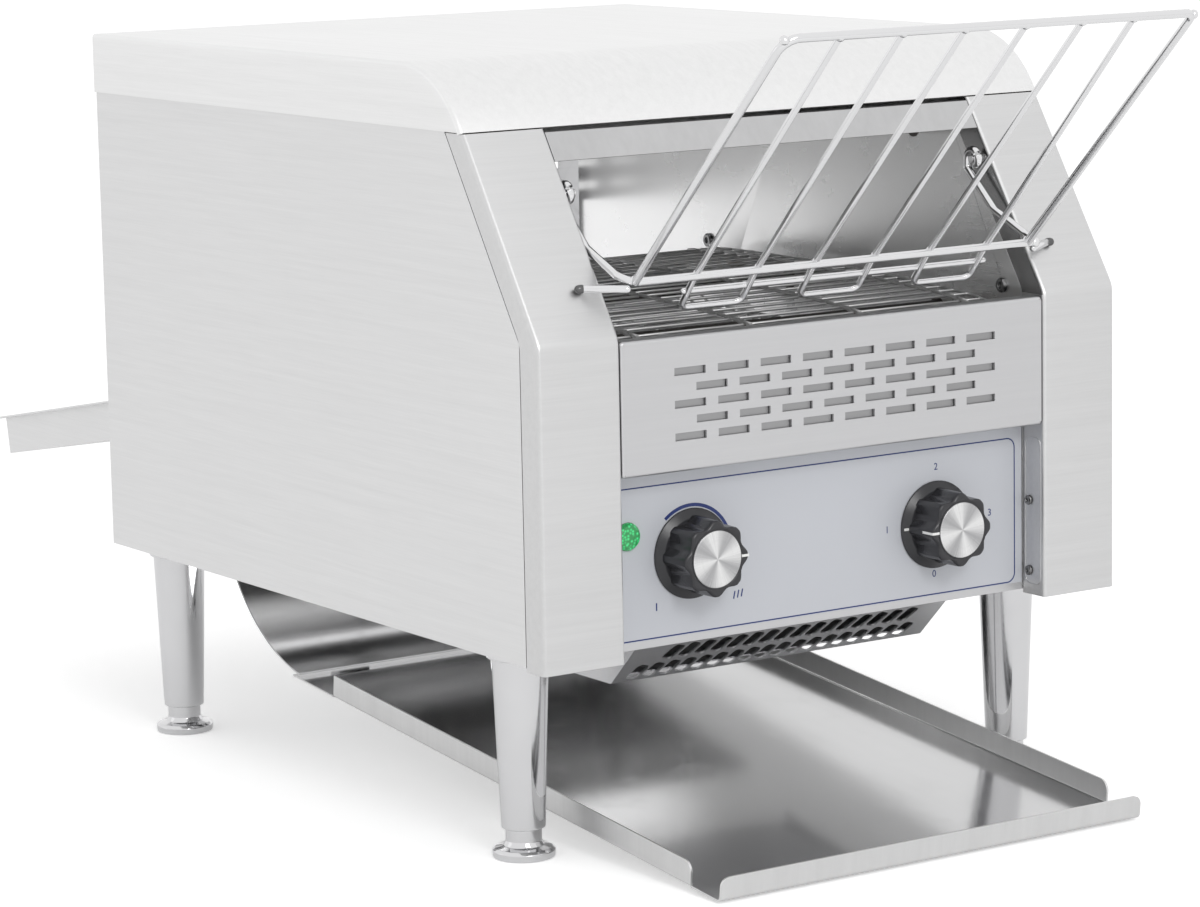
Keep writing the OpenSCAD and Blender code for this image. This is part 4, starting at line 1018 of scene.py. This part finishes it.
def arm_path(x, side):
    """A hook round its stud, then the arm down to the lower bar, as one bent line."""
    d0, z0 = RACK_LOW
    turn = np.radians(np.linspace(215, 0, 12))
    hook = np.column_stack([np.full(12, x), STUD[0] + HOOK_R * np.cos(turn), STUD[1] + HOOK_R * np.sin(turn)])
    down = [[x, STUD[0] + HOOK_R, STUD[1] - 5], [x, 33.0, 310.7], [x, 7.0, 299.6], [x - side * 1.5, d0, z0]]
    arm = rounded([hook[-1], *down], [0, 4, 12, 10, 0])
    return np.concatenate([hook[:-1], arm[:-1]])


def rack_frame(heavy, bend, sides):
    """The heavy wires: the outer hoop, the lower bar with an arm and a hook at each end, the two rests."""
    (d0, z0), (d1, z1) = RACK_LOW, RACK_HIGH
    up = [[WIRE_LOW_X[0], d0, z0], [WIRE_HIGH_X[0], d1, z1]]
    down = [[WIRE_HIGH_X[7], d1, z1], [WIRE_LOW_X[7], d0, z0]]
    hoop = rounded(up + down, [0, 9, 5, 0], 8)
    left, right = (arm_path(x, side) for x, side in HOOK_X)
    corner = rounded([left[-1], *([x, d0, z0] for x in LOW_BAR_X), right[-1]], [0, bend, bend, 0], 8)
    bar = np.concatenate([left[:-1], corner, right[::-1][1:]])
    shells = [wire(hoop, heavy, (0, 1, 1), sides), wire(bar, heavy, (0.02, 0.5, 1), sides)]
    for x, side in REST_X:
        rest = [[x, d0 + 1.0, z0 - 3.2], REST_TIP * [side, 1, 1]]
        shells.append(wire(rest, heavy * 0.92, (0, 0, 1), sides))
    return shells


def rack_wires(light, sides):
    """The light wires in pairs, each pair one hairpin turned down at its toe, and the bar across the toes."""
    (d0, z0), (d1, z1), lift = RACK_LOW, RACK_HIGH, RACK_LIFT
    shells = []
    for first in (1, 3, 5):
        one, other = (
            [[high, d1 + lift, z1 - lift], [low, d0 + lift, z0 + lift * 0.2], [low, *RACK_TOE]]
            for high, low in zip(WIRE_HIGH_X[first : first + 2], WIRE_LOW_X[first : first + 2])
        )
        path = rounded(one + other[::-1], [0, 5, 4, 4, 5, 0], 7)
        shells.append(wire(path, light, (0.02, 1, 0.9), sides))
    shells.append(wire([[x, *TOE_BAR] for x in TOE_BAR_X], light, (0, 0, 1), sides))
    return shells


def rack_welds(heavy, light):
    """A bead where each wire crosses the lower bar, the top bar and the bar across the toes."""
    (d0, z0), (d1, z1) = RACK_LOW, RACK_HIGH
    beads = []
    for low, high in zip(WIRE_LOW_X, WIRE_HIGH_X):
        beads.append(bead([low, d0 + 0.6, z0 + 1.0], heavy + 0.35))
        beads.append(bead([high, d1 + 0.5, z1 - 0.7], light + 0.75))
    beads += [bead([low, TOE_BAR[0], TOE_BAR[1] - 0.2], light + 0.5) for low in WIRE_LOW_X[1:7]]
    beads.append(bead([LOW_BAR_X[1], d0 + 0.5, z0], heavy + 0.9))
    return beads


class TOASTER_OT_rack(bpy.types.Operator):
    """Welded wire loading rack with its arms, hooks, hairpins and weld beads"""

    bl_idname = "toaster.rack"
    bl_label = "Loading rack"

    def execute(self, context):
        size, tint = context.scene.toaster_wire, context.scene.toaster_finish.wire
        heavy, light, sides = mm(size.frame_r), mm(size.rack_r), size.sides
        chrome = bright_finish("rack_wire", tint, 0.14, 0.1, 0.25)
        shells = rack_frame(heavy, mm(size.bend), sides) + rack_wires(light, sides)
        built("loading_rack_wires", shells, chrome, "loading_rack", smooth=50.0)
        built("loading_rack_welds", rack_welds(heavy, light), chrome, "loading_rack", replaces=False)
        tips = [
            wire(np.array([CAP_FROM, CAP_TO]) * [side, 1, 1], heavy * 1.02, (0, 0, 1), sides)
            for side in (-1, 1)
        ]
        built("rack_tip_caps", tips, bright_finish("tip_cap", shade(tint, 0.6), 0.2, 0.1, 0.25), "rack_tips")
        root = [[0, 126.4], [2.1, 126.4], [2.1, 127.2], [1.6, 127.4]]
        head = [[1.6, 133.2], [2.4, 133.4], [2.4, 134.3], [0, 134.3]]
        stud = rounded(root + head, [0, 0.5, 0.3, 0, 0, 0, 0.3, 0])
        studs = [turned(stud, (0, *STUD), (side, 0, 0), 32) for side in (-1, 1)]
        built("rack_stud_pins", studs, chrome, "rack_studs")
        return {"FINISHED"}


# ---------------------------------------------------------------- belt

# Where the loop starts as (depth, height), its rise, straight run, radius, wire pitch and half width
BELT_START = (31.0, 248.4)
BELT_RISE = math.radians(1.4)
BELT_RUN = 245.0 / math.cos(BELT_RISE)
BELT_R = 16.0
BELT_PITCH = 11.7
BELT_CROWN = 3.6
BELT_HALF = 116.0
LINK_X = (-105.0, -35.0, 35.0, 105.0)
# A hairpin link as (x, share of the pitch, wire radii of lift)
HAIRPIN = np.array(
    [
        (-2.6, 0, 0),
        (-2.2, 0.5, 0.6),
        (-2.0, 1.0, 0.9),
        (-1.2, 1.22, 0.3),
        (0, 1.28, -0.2),
        (1.2, 1.22, -0.5),
        (2.0, 1.0, -0.8),
        (2.2, 0.5, -0.5),
        (2.6, 0, 0),
    ]
)


def round_belt(s, lift):
    """The point at s along the belt's loop, lift outside its middle line, as (depth, height).

    The loop is two straight runs of BELT_RUN joined by half circles of BELT_R, turned by the belt's rise. Its
    upper run rides on guides, BELT_CROWN times the root of a half sine wave above the straight line."""
    half = math.pi * BELT_R
    s = np.mod(s, 2 * (BELT_RUN + half))
    a = np.clip((s - BELT_RUN) / BELT_R, 0, math.pi)
    b = np.clip((s - 2 * BELT_RUN - half) / BELT_R, 0, math.pi)
    r = BELT_R + lift
    u = np.where(
        s < BELT_RUN,
        s,
        np.where(
            s < BELT_RUN + half,
            BELT_RUN + r * np.sin(a),
            np.where(s < 2 * BELT_RUN + half, 2 * BELT_RUN + half - s, -r * np.sin(b)),
        ),
    )
    w = np.where(s < BELT_RUN + half, r * np.cos(a), -r * np.cos(b))
    w = w + BELT_CROWN * np.sqrt(np.sin(math.pi * np.clip(s / BELT_RUN, 0, 1)))
    return (
        BELT_START[0] + u * math.cos(BELT_RISE) - w * math.sin(BELT_RISE),
        BELT_START[1] + u * math.sin(BELT_RISE) + w * math.cos(BELT_RISE),
    )


def strand(s0, pitch, radius, shift):
    """One belt wire: straight across the belt, with a hairpin round the next wire at each link line.

    The wire is a path in x. At each link line it runs forward along the loop by a little over one pitch,
    across by the width of the hairpin, and back, rising over the neighbour's wire and dropping under it."""
    links = [HAIRPIN * (1, pitch, radius) + (x + shift, 0, 0) for x in LINK_X]
    x, s, lift = np.concatenate([[(-BELT_HALF, 0, 0)], *links, [(BELT_HALF, 0, 0)]]).T
    path = np.column_stack([x, *round_belt(s0 + s, lift)])
    return wire(path, radius, (0, 0.13, 1), 7, round_ends=False)


def edge_loop(s0, pitch, radius, side):
    """The looped end that joins two wires at the belt's edge: a half circle over half a pitch each way."""
    turn = np.radians(np.linspace(-90, 90, 7))
    s = s0 + 0.5 * pitch * np.sin(turn)
    path = np.column_stack([side * (BELT_HALF + 1.6 * np.cos(turn)), *round_belt(s, 0 * s)])
    return wire(path, radius, (0, 0.13, 1), 6, round_ends=False)


class TOASTER_OT_belt(bpy.types.Operator):
    """Wire conveyor belt: strands round the loop with hairpin links and looped ends"""

    bl_idname = "toaster.belt"
    bl_label = "Conveyor belt"

    def execute(self, context):
        radius = mm(context.scene.toaster_wire.belt_r)
        total = 2 * (BELT_RUN + math.pi * BELT_R)
        count = round(total / BELT_PITCH)
        pitch = total / count
        shells = [strand(k * pitch, pitch, radius, (k % 2) * 0.9 - 0.45) for k in range(count)]
        for k in range(count):
            shells += [edge_loop((k + 0.5) * pitch, pitch, radius, side) for side in (-1, 1)]
        metal = bright_finish("belt_wire", context.scene.toaster_finish.wire, 0.16, 0.1, 0.5)
        built("conveyor_belt_wires", shells, metal, "conveyor_belt", smooth=60.0)
        return {"FINISHED"}


# ---------------------------------------------------------------- controls

# The depth of the knobs' back, their height over it, the grip's front edge; profiles as (radius, height)
KNOB_BACK = PANEL_D - 0.7
KNOB_H = 22.3
KNOB_EDGE = 1.6
GRIP_R = 19.5
SKIRT = [[0, 0], [23.3, 0], [23.2, 0.8], [19.0, 3.4], [14, 3.6], [0, 3.6]]
SKIRT_R = [0, 0.3, 0.6, 1.2, 0, 0]
GRIP_BACK = [[0, 1.0], [18.6, 1.0], [19.9, 2.8]]
GRIP_FRONT = [[16.2, KNOB_H], [15.2, 21.7], [0, 21.7]]
# The index line over front, edge and skirt: reach from the middle, depth behind the front, both sizes
INDEX_PARTS = ((17.3, 0.22, 4.4, 0.5), (19.45, 9.5, 0.4, 18.2), (21.0, 19.75, 3.6, 0.5))


def knob_shells(x, z, flutes, depth):
    """A knob: a flat round skirt and a grip with hollows round it.

    The grip's radius falls by depth at each hollow, as depth * cos^1.5 of the angle off the hollow's middle
    inside a window, and its rings draw in at the front round an edge of KNOB_EDGE."""
    turn = np.radians(np.linspace(0, 90, 7))
    edge = np.column_stack([GRIP_R - KNOB_EDGE * (1 - np.cos(turn)), KNOB_H - KNOB_EDGE * (1 - np.sin(turn))])
    grip = np.concatenate([GRIP_BACK, edge, GRIP_FRONT])

    def hollows(a, rings):
        window = math.pi / flutes
        off = np.mod(a - window, 2 * window)
        off = np.minimum(off, 2 * window - off) / (window * 0.86)
        dip = np.where(off < 1, np.maximum(np.cos(off * math.pi / 2), 0.0) ** 1.5, 0.0)
        weight = np.clip((rings[:, 0] - 16.3) / 2.0, 0, 1)
        return -depth * dip[None] * weight[:, None]

    centre, out = (x, KNOB_BACK, z), (0, -1, 0)
    skirt = turned(rounded(SKIRT, SKIRT_R, 5), centre, out, 96)
    return [skirt, turned(grip, centre, out, 32 * flutes, hollows)]


def block_shell(centre, size):
    """A thin block given by its middle and its three sizes, as a closed outline carried along X."""
    x, d, z = centre
    w, l, h = (s / 2 for s in size)
    return carried([[d - l, z - h], [d + l, z - h], [d + l, z + h], [d - l, z + h]], x - w, x + w)


def cap_finish(name, x, z):
    """Spun aluminium: fine rings round the cap's own middle, and a painted reflection, light and dark sectors
    that change with the angle round the middle.
    """
    material, tree, shader, place = new_material(name)
    middle = mapped(tree, place, (1, 0, 1), (x / 1000, FRONT / 1000, z / 1000))
    reach = tree.nodes.new("ShaderNodeVectorMath")
    reach.operation = "LENGTH"
    tree.links.new(middle, reach.inputs[0])
    rings = noise(tree, reach.outputs["Value"], 9000.0)
    split = tree.nodes.new("ShaderNodeSeparateXYZ")
    tree.links.new(middle, split.inputs[0])
    angle = maths(tree, "ARCTAN2", split.outputs["Z"], split.outputs["X"])
    # painted reflection: four light and four dark sectors round the cap, made uneven by a noise on the angle
    painted_sectors = maths(tree, "SINE", maths(tree, "MULTIPLY_ADD", angle, 4.0, 0.6))
    finer = noise(tree, maths(tree, "MULTIPLY", angle, 3.0), 6.0, 3.0)
    painted_reflection = maths(tree, "MULTIPLY_ADD", painted_sectors, 0.28, maths(tree, "MULTIPLY", finer, 0.8))
    base = mixed(tree, remap(tree, painted_reflection, 0.1, 0.75, 0.0, 1.0), (0.42, 0.42, 0.43), (0.9, 0.9, 0.9))
    base = mixed(tree, remap(tree, rings, 0.35, 0.65, 0.0, 0.25), base, (0.3, 0.3, 0.3))
    spread = remap(tree, rings, 0.3, 0.7, 0.2, 0.34)
    feed(tree, shader, {"Base Color": base, "Roughness": spread, "Metallic": 1.0})
    add_bump(tree, shader, rings, 0.3, 0.00005)
    return material


class TOASTER_OT_knobs(bpy.types.Operator):
    """Speed and selector knobs with spun caps and white index marks"""

    bl_idname = "toaster.knobs"
    bl_label = "Knobs"

    def execute(self, context):
        c = context.scene.toaster_controls
        black = plastic_finish("knob_plastic", c.plastic_colour, 0.05, 1.0, 0.15, 0.004)
        black.node_tree.nodes["Principled BSDF"].inputs["Specular IOR Level"].default_value = 0.45
        white = plastic_finish("index_paint", (0.85, 0.85, 0.84), 0.4, 0.0, 0.04)
        disc = rounded([[0, 0], [14.6, 0], [14.6, 0.9], [14.0, 1.1], [0, 1.1]], [0, 0, 0.3, 0.3, 0])
        front, w = KNOB_BACK - KNOB_H, mm(c.mark_w)
        for name, (x, z), way in (("speed", SPEED, 1), ("selector", SELECTOR, -1)):
            knob = name + "_knob"
            built(knob + "_grip", knob_shells(x, z, c.flutes, mm(c.flute_depth)), black, knob, smooth=35.0)
            cap = [turned(disc, (x, front + 0.8, z), (0, -1, 0), 96)]
            built(knob + "_disc", cap, cap_finish(name + "_painted_reflection_cap", x, z), knob + "_cap")
            marks = [
                block_shell((x + way * reach, front + back, z), (across, deep, w))
                for reach, back, across, deep in INDEX_PARTS
            ]
            built(name + "_index_mark", marks, white, knob, replaces=False)
        return {"FINISHED"}


PRINT_LIFT = 0.05


def ribbon(path, width, joined=False):
    """A printed line: the path (x, height) widened by half the width to each side, a hair thick on the film.

    Each point moves out along the normal of its neighbours' chord; front and back make a thin strip."""
    p = np.asarray(path, float)
    t = directions(p, joined)
    n = np.column_stack([-t[:, 1], t[:, 0]]) * width / 2
    rows = [
        np.column_stack([q[:, 0], np.full(len(p), OVERLAY_FACE - y), q[:, 1]])
        for q, y in ((p - n, 0.0), (p - n, PRINT_LIFT), (p + n, PRINT_LIFT), (p + n, 0.0))
    ]
    faces = [quads(len(p), 4, wrap_rows=joined, wrap_columns=True)]
    if not joined:
        faces += [np.arange(4)[None], (len(p) - 1) * 4 + np.arange(4)[None, ::-1]]
    return closed(np.stack(rows, axis=1), faces)


def printed_sign(text, x, z, height, finish):
    """Plain lettering as a thin mesh on the film, set upright and centred on (x, z)."""
    curve = bpy.data.curves.new("sign_" + text, "FONT")
    curve.body = text
    curve.size = height / 1000 * 1.4
    curve.extrude = 0.00004
    curve.align_x, curve.align_y = "CENTER", "CENTER"
    holder = bpy.data.objects.new("sign_holder", curve)
    bpy.context.scene.collection.objects.link(holder)
    bpy.context.view_layer.update()
    mesh = bpy.data.meshes.new_from_object(holder.evaluated_get(bpy.context.evaluated_depsgraph_get()))
    bpy.data.objects.remove(holder)
    bpy.data.curves.remove(curve)
    mesh.transform(Matrix.Rotation(math.pi / 2, 4, "X"))
    mesh.transform(Matrix.Translation(Vector(placed([x, OVERLAY_FACE - PRINT_LIFT, z])[0])))
    shown(f"print_{text}_{int(x)}", mesh, finish, "control_overlay", replaces=False)


# The border's left, right, bottom and top; short strokes as (x, height, slant); the dial's numbers
BORDER = (-132.6, 128.5, 112.8, 190.4)
DIAL_R = 24.7
STROKES = ((-103.5, 128.5, 0.0), (-55.4, 128.7, 0.9), (-53.0, 129.0, 0.9), (-50.6, 129.3, 0.9))
SIGNS = (("0", 74.0, 123.6), ("1", 43.0, 150.5), ("2", 75.5, 180.5), ("3", 111.5, 152.0))


class TOASTER_OT_overlay(bpy.types.Operator):
    """Printed film with its border line, dial arc, plain strokes and numbers"""

    bl_idname = "toaster.overlay"
    bl_label = "Printed film"

    def execute(self, context):
        c = context.scene.toaster_controls
        film = plastic_finish("printed_film", c.film_colour, 0.34, 0.15, 0.008)
        ink = plastic_finish("print_ink", c.print_colour, 0.4, 0.0, 0.1)
        refined("control_overlay", film, 0.0001)
        line = mm(c.line_w)
        arc = np.radians(np.linspace(130, 20, 40))
        arc_path = np.column_stack([SPEED[0] + DIAL_R * np.cos(arc), SPEED[1] + DIAL_R * np.sin(arc)])
        border = rounded_box(*BORDER, 5.0, 8)
        shells = [ribbon(border, line, joined=True), ribbon(arc_path, mm(c.arc_w))]
        for x, z, slant in STROKES:
            stroke = [[x - slant / 2, z - 2.0], [x, z], [x + slant / 2, z + 2.0]]
            shells.append(ribbon(stroke, line * 1.1))
        built("film_lines", shells, ink, "control_overlay", replaces=False)
        for text, x, z in SIGNS:
            printed_sign(text, x, z, 3.8, ink)
        return {"FINISHED"}


class TOASTER_OT_lamp(bpy.types.Operator):
    """Pilot lamp with a faceted green lens"""

    bl_idname = "toaster.lamp"
    bl_label = "Pilot lamp"

    def execute(self, context):
        c = context.scene.toaster_controls
        material, tree, shader, place = new_material("lamp_lens")
        cells = tree.nodes.new("ShaderNodeTexVoronoi")
        feed(tree, cells, {"Vector": place, "Scale": 620.0})
        # painted highlight and shade: each facet of the lens is lighter in its middle and darker at its edges
        tone = remap(tree, cells.outputs["Distance"], 0.0, 0.6, 0.0, 1.0)
        base = mixed(tree, tone, shade(c.lens_colour, 2.6), shade(c.lens_colour, 0.35))
        spread = remap(tree, cells.outputs["Distance"], 0.0, 0.6, 0.08, 0.2)
        feed(tree, shader, {"Base Color": base, "Roughness": spread, "Coat Weight": 0.6})
        feed(tree, shader, {"Emission Color": (0.02, 0.5, 0.12), "Emission Strength": 0.25})
        add_bump(tree, shader, cells.outputs["Distance"], 0.6, 0.0004)
        dome = rounded([[0, 0], [7.1, 0], [7.1, 1.0], [5.8, 2.7], [0, 3.3]], [0, 0, 0.5, 1.2, 0], 6)
        dome = turned(dome, (LAMP[0], OVERLAY_FACE, LAMP[1]), (0, -1, 0), 64)
        built("pilot_lens_dome", [dome], material, "pilot_lens")
        return {"FINISHED"}


# ---------------------------------------------------------------- what stays from the frame

# Metals as name, tint, roughness, dullness and specks, then the nodes; plastics as name, tint, roughness
SHAFTS = ("front_shaft", "rear_shaft", "motor_shaft", "speed_knob_shaft", "selector_knob_shaft")
DRIVE = ("front_belt_wheels", "rear_belt_wheels", "shaft_sprocket", "motor_sprocket")
METALS = (
    ("turned_steel", (0.62, 0.62, 0.63), 0.22, 0.1, 0.2, (*SHAFTS, "cabinet_screws")),
    ("pressed_steel", (0.42, 0.42, 0.43), 0.35, 0.15, 0.4, DRIVE),
    ("oiled_chain", (0.30, 0.29, 0.27), 0.38, 0.15, 0.6, ("drive_chain",)),
    ("bush_bronze", (0.20, 0.16, 0.11), 0.4, 0.15, 0.4, ("shaft_bushes",)),
    ("heater_sheath", (0.16, 0.15, 0.14), 0.4, 0.15, 0.5, ("upper_heaters", "lower_heaters")),
)
PLASTICS = (
    ("pale_moulding", (0.62, 0.59, 0.52), 0.5, ("speed_controller", "selector_switch", "terminal_block")),
    ("dark_moulding", (0.03, 0.03, 0.032), 0.45, ("pilot_lamp", "inlet_gland")),
)


class TOASTER_OT_insides(bpy.types.Operator):
    """Finishes of the inner pieces, shafts, drive, heaters and screws"""

    bl_idname = "toaster.insides"
    bl_label = "Inner pieces"

    def execute(self, context):
        finish = context.scene.toaster_finish
        # the control box takes the near black steel, painted shade under the belt
        finish_nodes(shaded_inner_steel(finish), ["control_box"])
        base = steel_finish("base_sheet", shade(finish.steel, 0.8), 0.35, "y", finish.grain, 700.0)
        finish_nodes(base, ["left_base_plate", "right_base_plate", "upper_reflector"])
        liner = steel_finish("liner_sheet", (0.36, 0.36, 0.365), 0.4, "x", finish.grain, 700.0)
        finish_nodes(liner, ["vent_liner"])
        for *look, nodes in METALS:
            finish_nodes(bright_finish(*look), nodes)
        enamel = plastic_finish("motor_enamel", (0.05, 0.055, 0.06), 0.45, 0.1, 0.3)
        finish_nodes(enamel, ["gear_motor"])
        for *look, nodes in PLASTICS:
            finish_nodes(plastic_finish(*look), nodes)
        return {"FINISHED"}


# ---------------------------------------------------------------- stage


def area_lamp(name, place, target, size, power):
    """A soft rectangular lamp turned towards its target, not seen itself."""
    data = bpy.data.lights.new(name, "AREA")
    data.shape = "RECTANGLE"
    data.size, data.size_y = size
    data.energy = power
    lamp = bpy.data.objects.new(name, data)
    lamp.location = place
    lamp.rotation_euler = (Vector(target) - Vector(place)).to_track_quat("-Z", "Y").to_euler()
    lamp.visible_camera = False
    bpy.context.scene.collection.objects.link(lamp)


def card(name, corners, material):
    """One flat face that belongs to the stage."""
    mesh = bpy.data.meshes.new(name)
    mesh.from_pydata(corners, [], [(0, 1, 2, 3)])
    mesh.materials.append(material)
    obj = bpy.data.objects.new(name, mesh)
    bpy.context.scene.collection.objects.link(obj)
    return obj


def soft_box(start, end, target, width, strength):
    """A white strip that only mirrors see: it gives glossy skins their highlights and lights nothing else."""
    start, end = Vector(start), Vector(end)
    half = (end - start).cross(Vector(target) - start).normalized() * (width / 2)
    corners = [start - half, end - half, end + half, start + half]
    material, tree, shader, place = new_material("soft_box_cloth")
    tone = remap(tree, noise(tree, place, 4.0, 1.0), 0.2, 0.8, 0.92, 1.0)
    glow = maths(tree, "MULTIPLY", tone, strength)
    feed(tree, shader, {"Base Color": (0, 0, 0), "Emission Color": (1, 1, 1), "Emission Strength": glow})
    strip = card("soft_box", [tuple(c) for c in corners], material)
    strip.visible_camera = strip.visible_diffuse = strip.visible_transmission = False
    strip.visible_shadow = strip.visible_volume_scatter = False


def lay_floor(stage):
    """A pale paper floor a hair under the feet, that adds its own white where it is seen or mirrored."""
    material, tree, shader, place = new_material("floor_paper")
    fibres = remap(tree, noise(tree, place, 60.0, 3.0), 0.3, 0.7, 0.0, 1.0)
    base = mixed(tree, fibres, shade(stage.floor, 0.99), stage.floor)
    rays = tree.nodes.new("ShaderNodeLightPath").outputs
    mirrored = maths(tree, "MULTIPLY", rays["Is Glossy Ray"], 0.4)
    glow = maths(tree, "MULTIPLY", maths(tree, "MAXIMUM", rays["Is Camera Ray"], mirrored), stage.paper)
    feed(tree, shader, {"Base Color": base, "Roughness": 0.7, "Specular IOR Level": 0.0})
    feed(tree, shader, {"Emission Color": (1, 1, 1), "Emission Strength": glow})
    side, z = 12.0, -0.0002
    card("floor", [(-side, -side, z), (side, -side, z), (side, side, z), (-side, side, z)], material)


def fill_world(stage):
    """White surroundings: full white where they are seen, mirrored or shone through, else the fill light."""
    world = bpy.data.worlds.new("Studio")
    bpy.context.scene.world = world
    world.use_nodes = True
    tree = world.node_tree
    tree.nodes.clear()
    out = tree.nodes.new("ShaderNodeOutputWorld")
    seen, light = (tree.nodes.new("ShaderNodeBackground") for _ in range(2))
    feed(tree, seen, {"Strength": 1.0, "Color": (1, 1, 1)})
    feed(tree, light, {"Strength": stage.sky, "Color": (1, 1, 1)})
    rays = tree.nodes.new("ShaderNodeLightPath").outputs
    either = maths(tree, "MAXIMUM", rays["Is Camera Ray"], rays["Is Glossy Ray"])
    either = maths(tree, "MAXIMUM", either, rays["Is Transmission Ray"])
    mix = tree.nodes.new("ShaderNodeMixShader")
    feed(tree, mix, {0: either, 1: light.outputs[0], 2: seen.outputs[0]})
    tree.links.new(mix.outputs[0], out.inputs["Surface"])


# Soft lamps inside the cabinet: x and height, width and height in metres, strength over the area
GLOWS = (
    ("upper_glow", 0, 315, 0.25, 0.06, 0.5),
    ("belt_glow", 45, 259, 0.17, 0.052, 3.0),
    ("left_glow", -85, 252, 0.09, 0.065, 1.3),
)
GLOW_D = 442
# The camera: place from the front plane in metres, azimuth, tilt down and roll in degrees, lens in mm
CAMERA_AT = (-1.2695, -1.6790, 0.5436)
CAMERA_TURN = (-33.75, 9.28, -1.11)
CAMERA_LENS = 125.28


def place_lamps(stage):
    """The lamps round the object, those inside the cabinet and under it, and the strip for the highlights."""
    area_lamp("key_lamp", (-0.6, -2.85, 1.9), (0, 0, 0.2), (0.8, 0.8), stage.key)
    area_lamp("side_lamp", (-2.4, 1.6, 0.9), (0, 0, 0.25), (1.2, 1.2), stage.side)
    for name, x, z, w, h, strength in GLOWS:
        power = stage.inside * strength * w * h
        area_lamp(name, *placed([(x, GLOW_D, z), (x, 0, z)]), (w, h), power)
    area_lamp("corner_glow", *placed([(158, 420, 300), (133, 455, 303)]), (0.05, 0.08), stage.inside * 0.012)
    area_lamp("under_glow", *placed([(0, 310, 54), (0, 300, 154)]), (0.24, 0.1), stage.under)
    soft_box((-0.86, -2.23, 1.0), (0.15, -1.92, 1.75), (0, -0.25, 0.15), 0.25, stage.box)


def place_camera():
    """The camera looks along ahead, worked out from its azimuth and tilt, and is rolled about that line."""
    data = bpy.data.cameras.new("camera")
    camera = bpy.data.objects.new("camera", data)
    bpy.context.scene.collection.objects.link(camera)
    data.sensor_fit = "HORIZONTAL"
    data.sensor_width = 36.0
    data.lens = CAMERA_LENS
    data.clip_end = 100.0
    azimuth, tilt, roll = (math.radians(v) for v in CAMERA_TURN)
    ahead = Vector((-math.sin(azimuth) * math.cos(tilt), math.cos(azimuth) * math.cos(tilt), -math.sin(tilt)))
    level = ahead.cross(Vector((0, 0, 1))).normalized()
    upright = level.cross(ahead)
    right = level * math.cos(roll) + upright * math.sin(roll)
    up = -level * math.sin(roll) + upright * math.cos(roll)
    turn = Matrix((right, up, -ahead)).transposed().to_4x4()
    camera.matrix_world = Matrix.Translation(Vector(CAMERA_AT) + Vector((0, FRONT / 1000, 0))) @ turn
    bpy.context.scene.camera = camera


class TOASTER_OT_stage(bpy.types.Operator):
    """Pale floor, plain white surroundings, soft lamps and the camera"""

    bl_idname = "toaster.stage"
    bl_label = "Stage"

    def execute(self, context):
        stage = context.scene.toaster_stage
        lay_floor(stage)
        fill_world(stage)
        place_lamps(stage)
        place_camera()
        context.scene.view_settings.view_transform = "Standard"
        return {"FINISHED"}


# ---------------------------------------------------------------- panel and registration

OPERATORS = (
    TOASTER_OT_stage,
    TOASTER_OT_cover,
    TOASTER_OT_pillars,
    TOASTER_OT_panels,
    TOASTER_OT_walls,
    TOASTER_OT_guard,
    TOASTER_OT_tray,
    TOASTER_OT_slide,
    TOASTER_OT_legs,
    TOASTER_OT_rack,
    TOASTER_OT_belt,
    TOASTER_OT_knobs,
    TOASTER_OT_overlay,
    TOASTER_OT_lamp,
    TOASTER_OT_insides,
)
GROUPS = {
    "toaster_sheet": ToasterSheet,
    "toaster_wire": ToasterWire,
    "toaster_controls": ToasterControls,
    "toaster_finish": ToasterFinish,
    "toaster_stage": ToasterStage,
}


class TOASTER_PT_panel(bpy.types.Panel):
    bl_idname = "TOASTER_PT_panel"
    bl_label = "Conveyor toaster"
    bl_space_type = "VIEW_3D"
    bl_region_type = "UI"
    bl_category = "Toaster"

    def draw(self, context):
        for name, group in GROUPS.items():
            box = self.layout.box()
            for key in group.__annotations__:
                box.prop(getattr(context.scene, name), key)
        for operator in OPERATORS:
            self.layout.operator(operator.bl_idname)


def register():
    for cls in (*GROUPS.values(), *OPERATORS, TOASTER_PT_panel):
        bpy.utils.register_class(cls)
    for name, group in GROUPS.items():
        setattr(bpy.types.Scene, name, PointerProperty(type=group))


def unregister():
    for name in GROUPS:
        delattr(bpy.types.Scene, name)
    for cls in (TOASTER_PT_panel, *reversed(OPERATORS), *reversed(tuple(GROUPS.values()))):
        bpy.utils.unregister_class(cls)


def main():
    register()
    for operator in OPERATORS:
        group, name = operator.bl_idname.split(".")
        getattr(getattr(bpy.ops, group), name)()


if __name__ == "__main__":
    main()
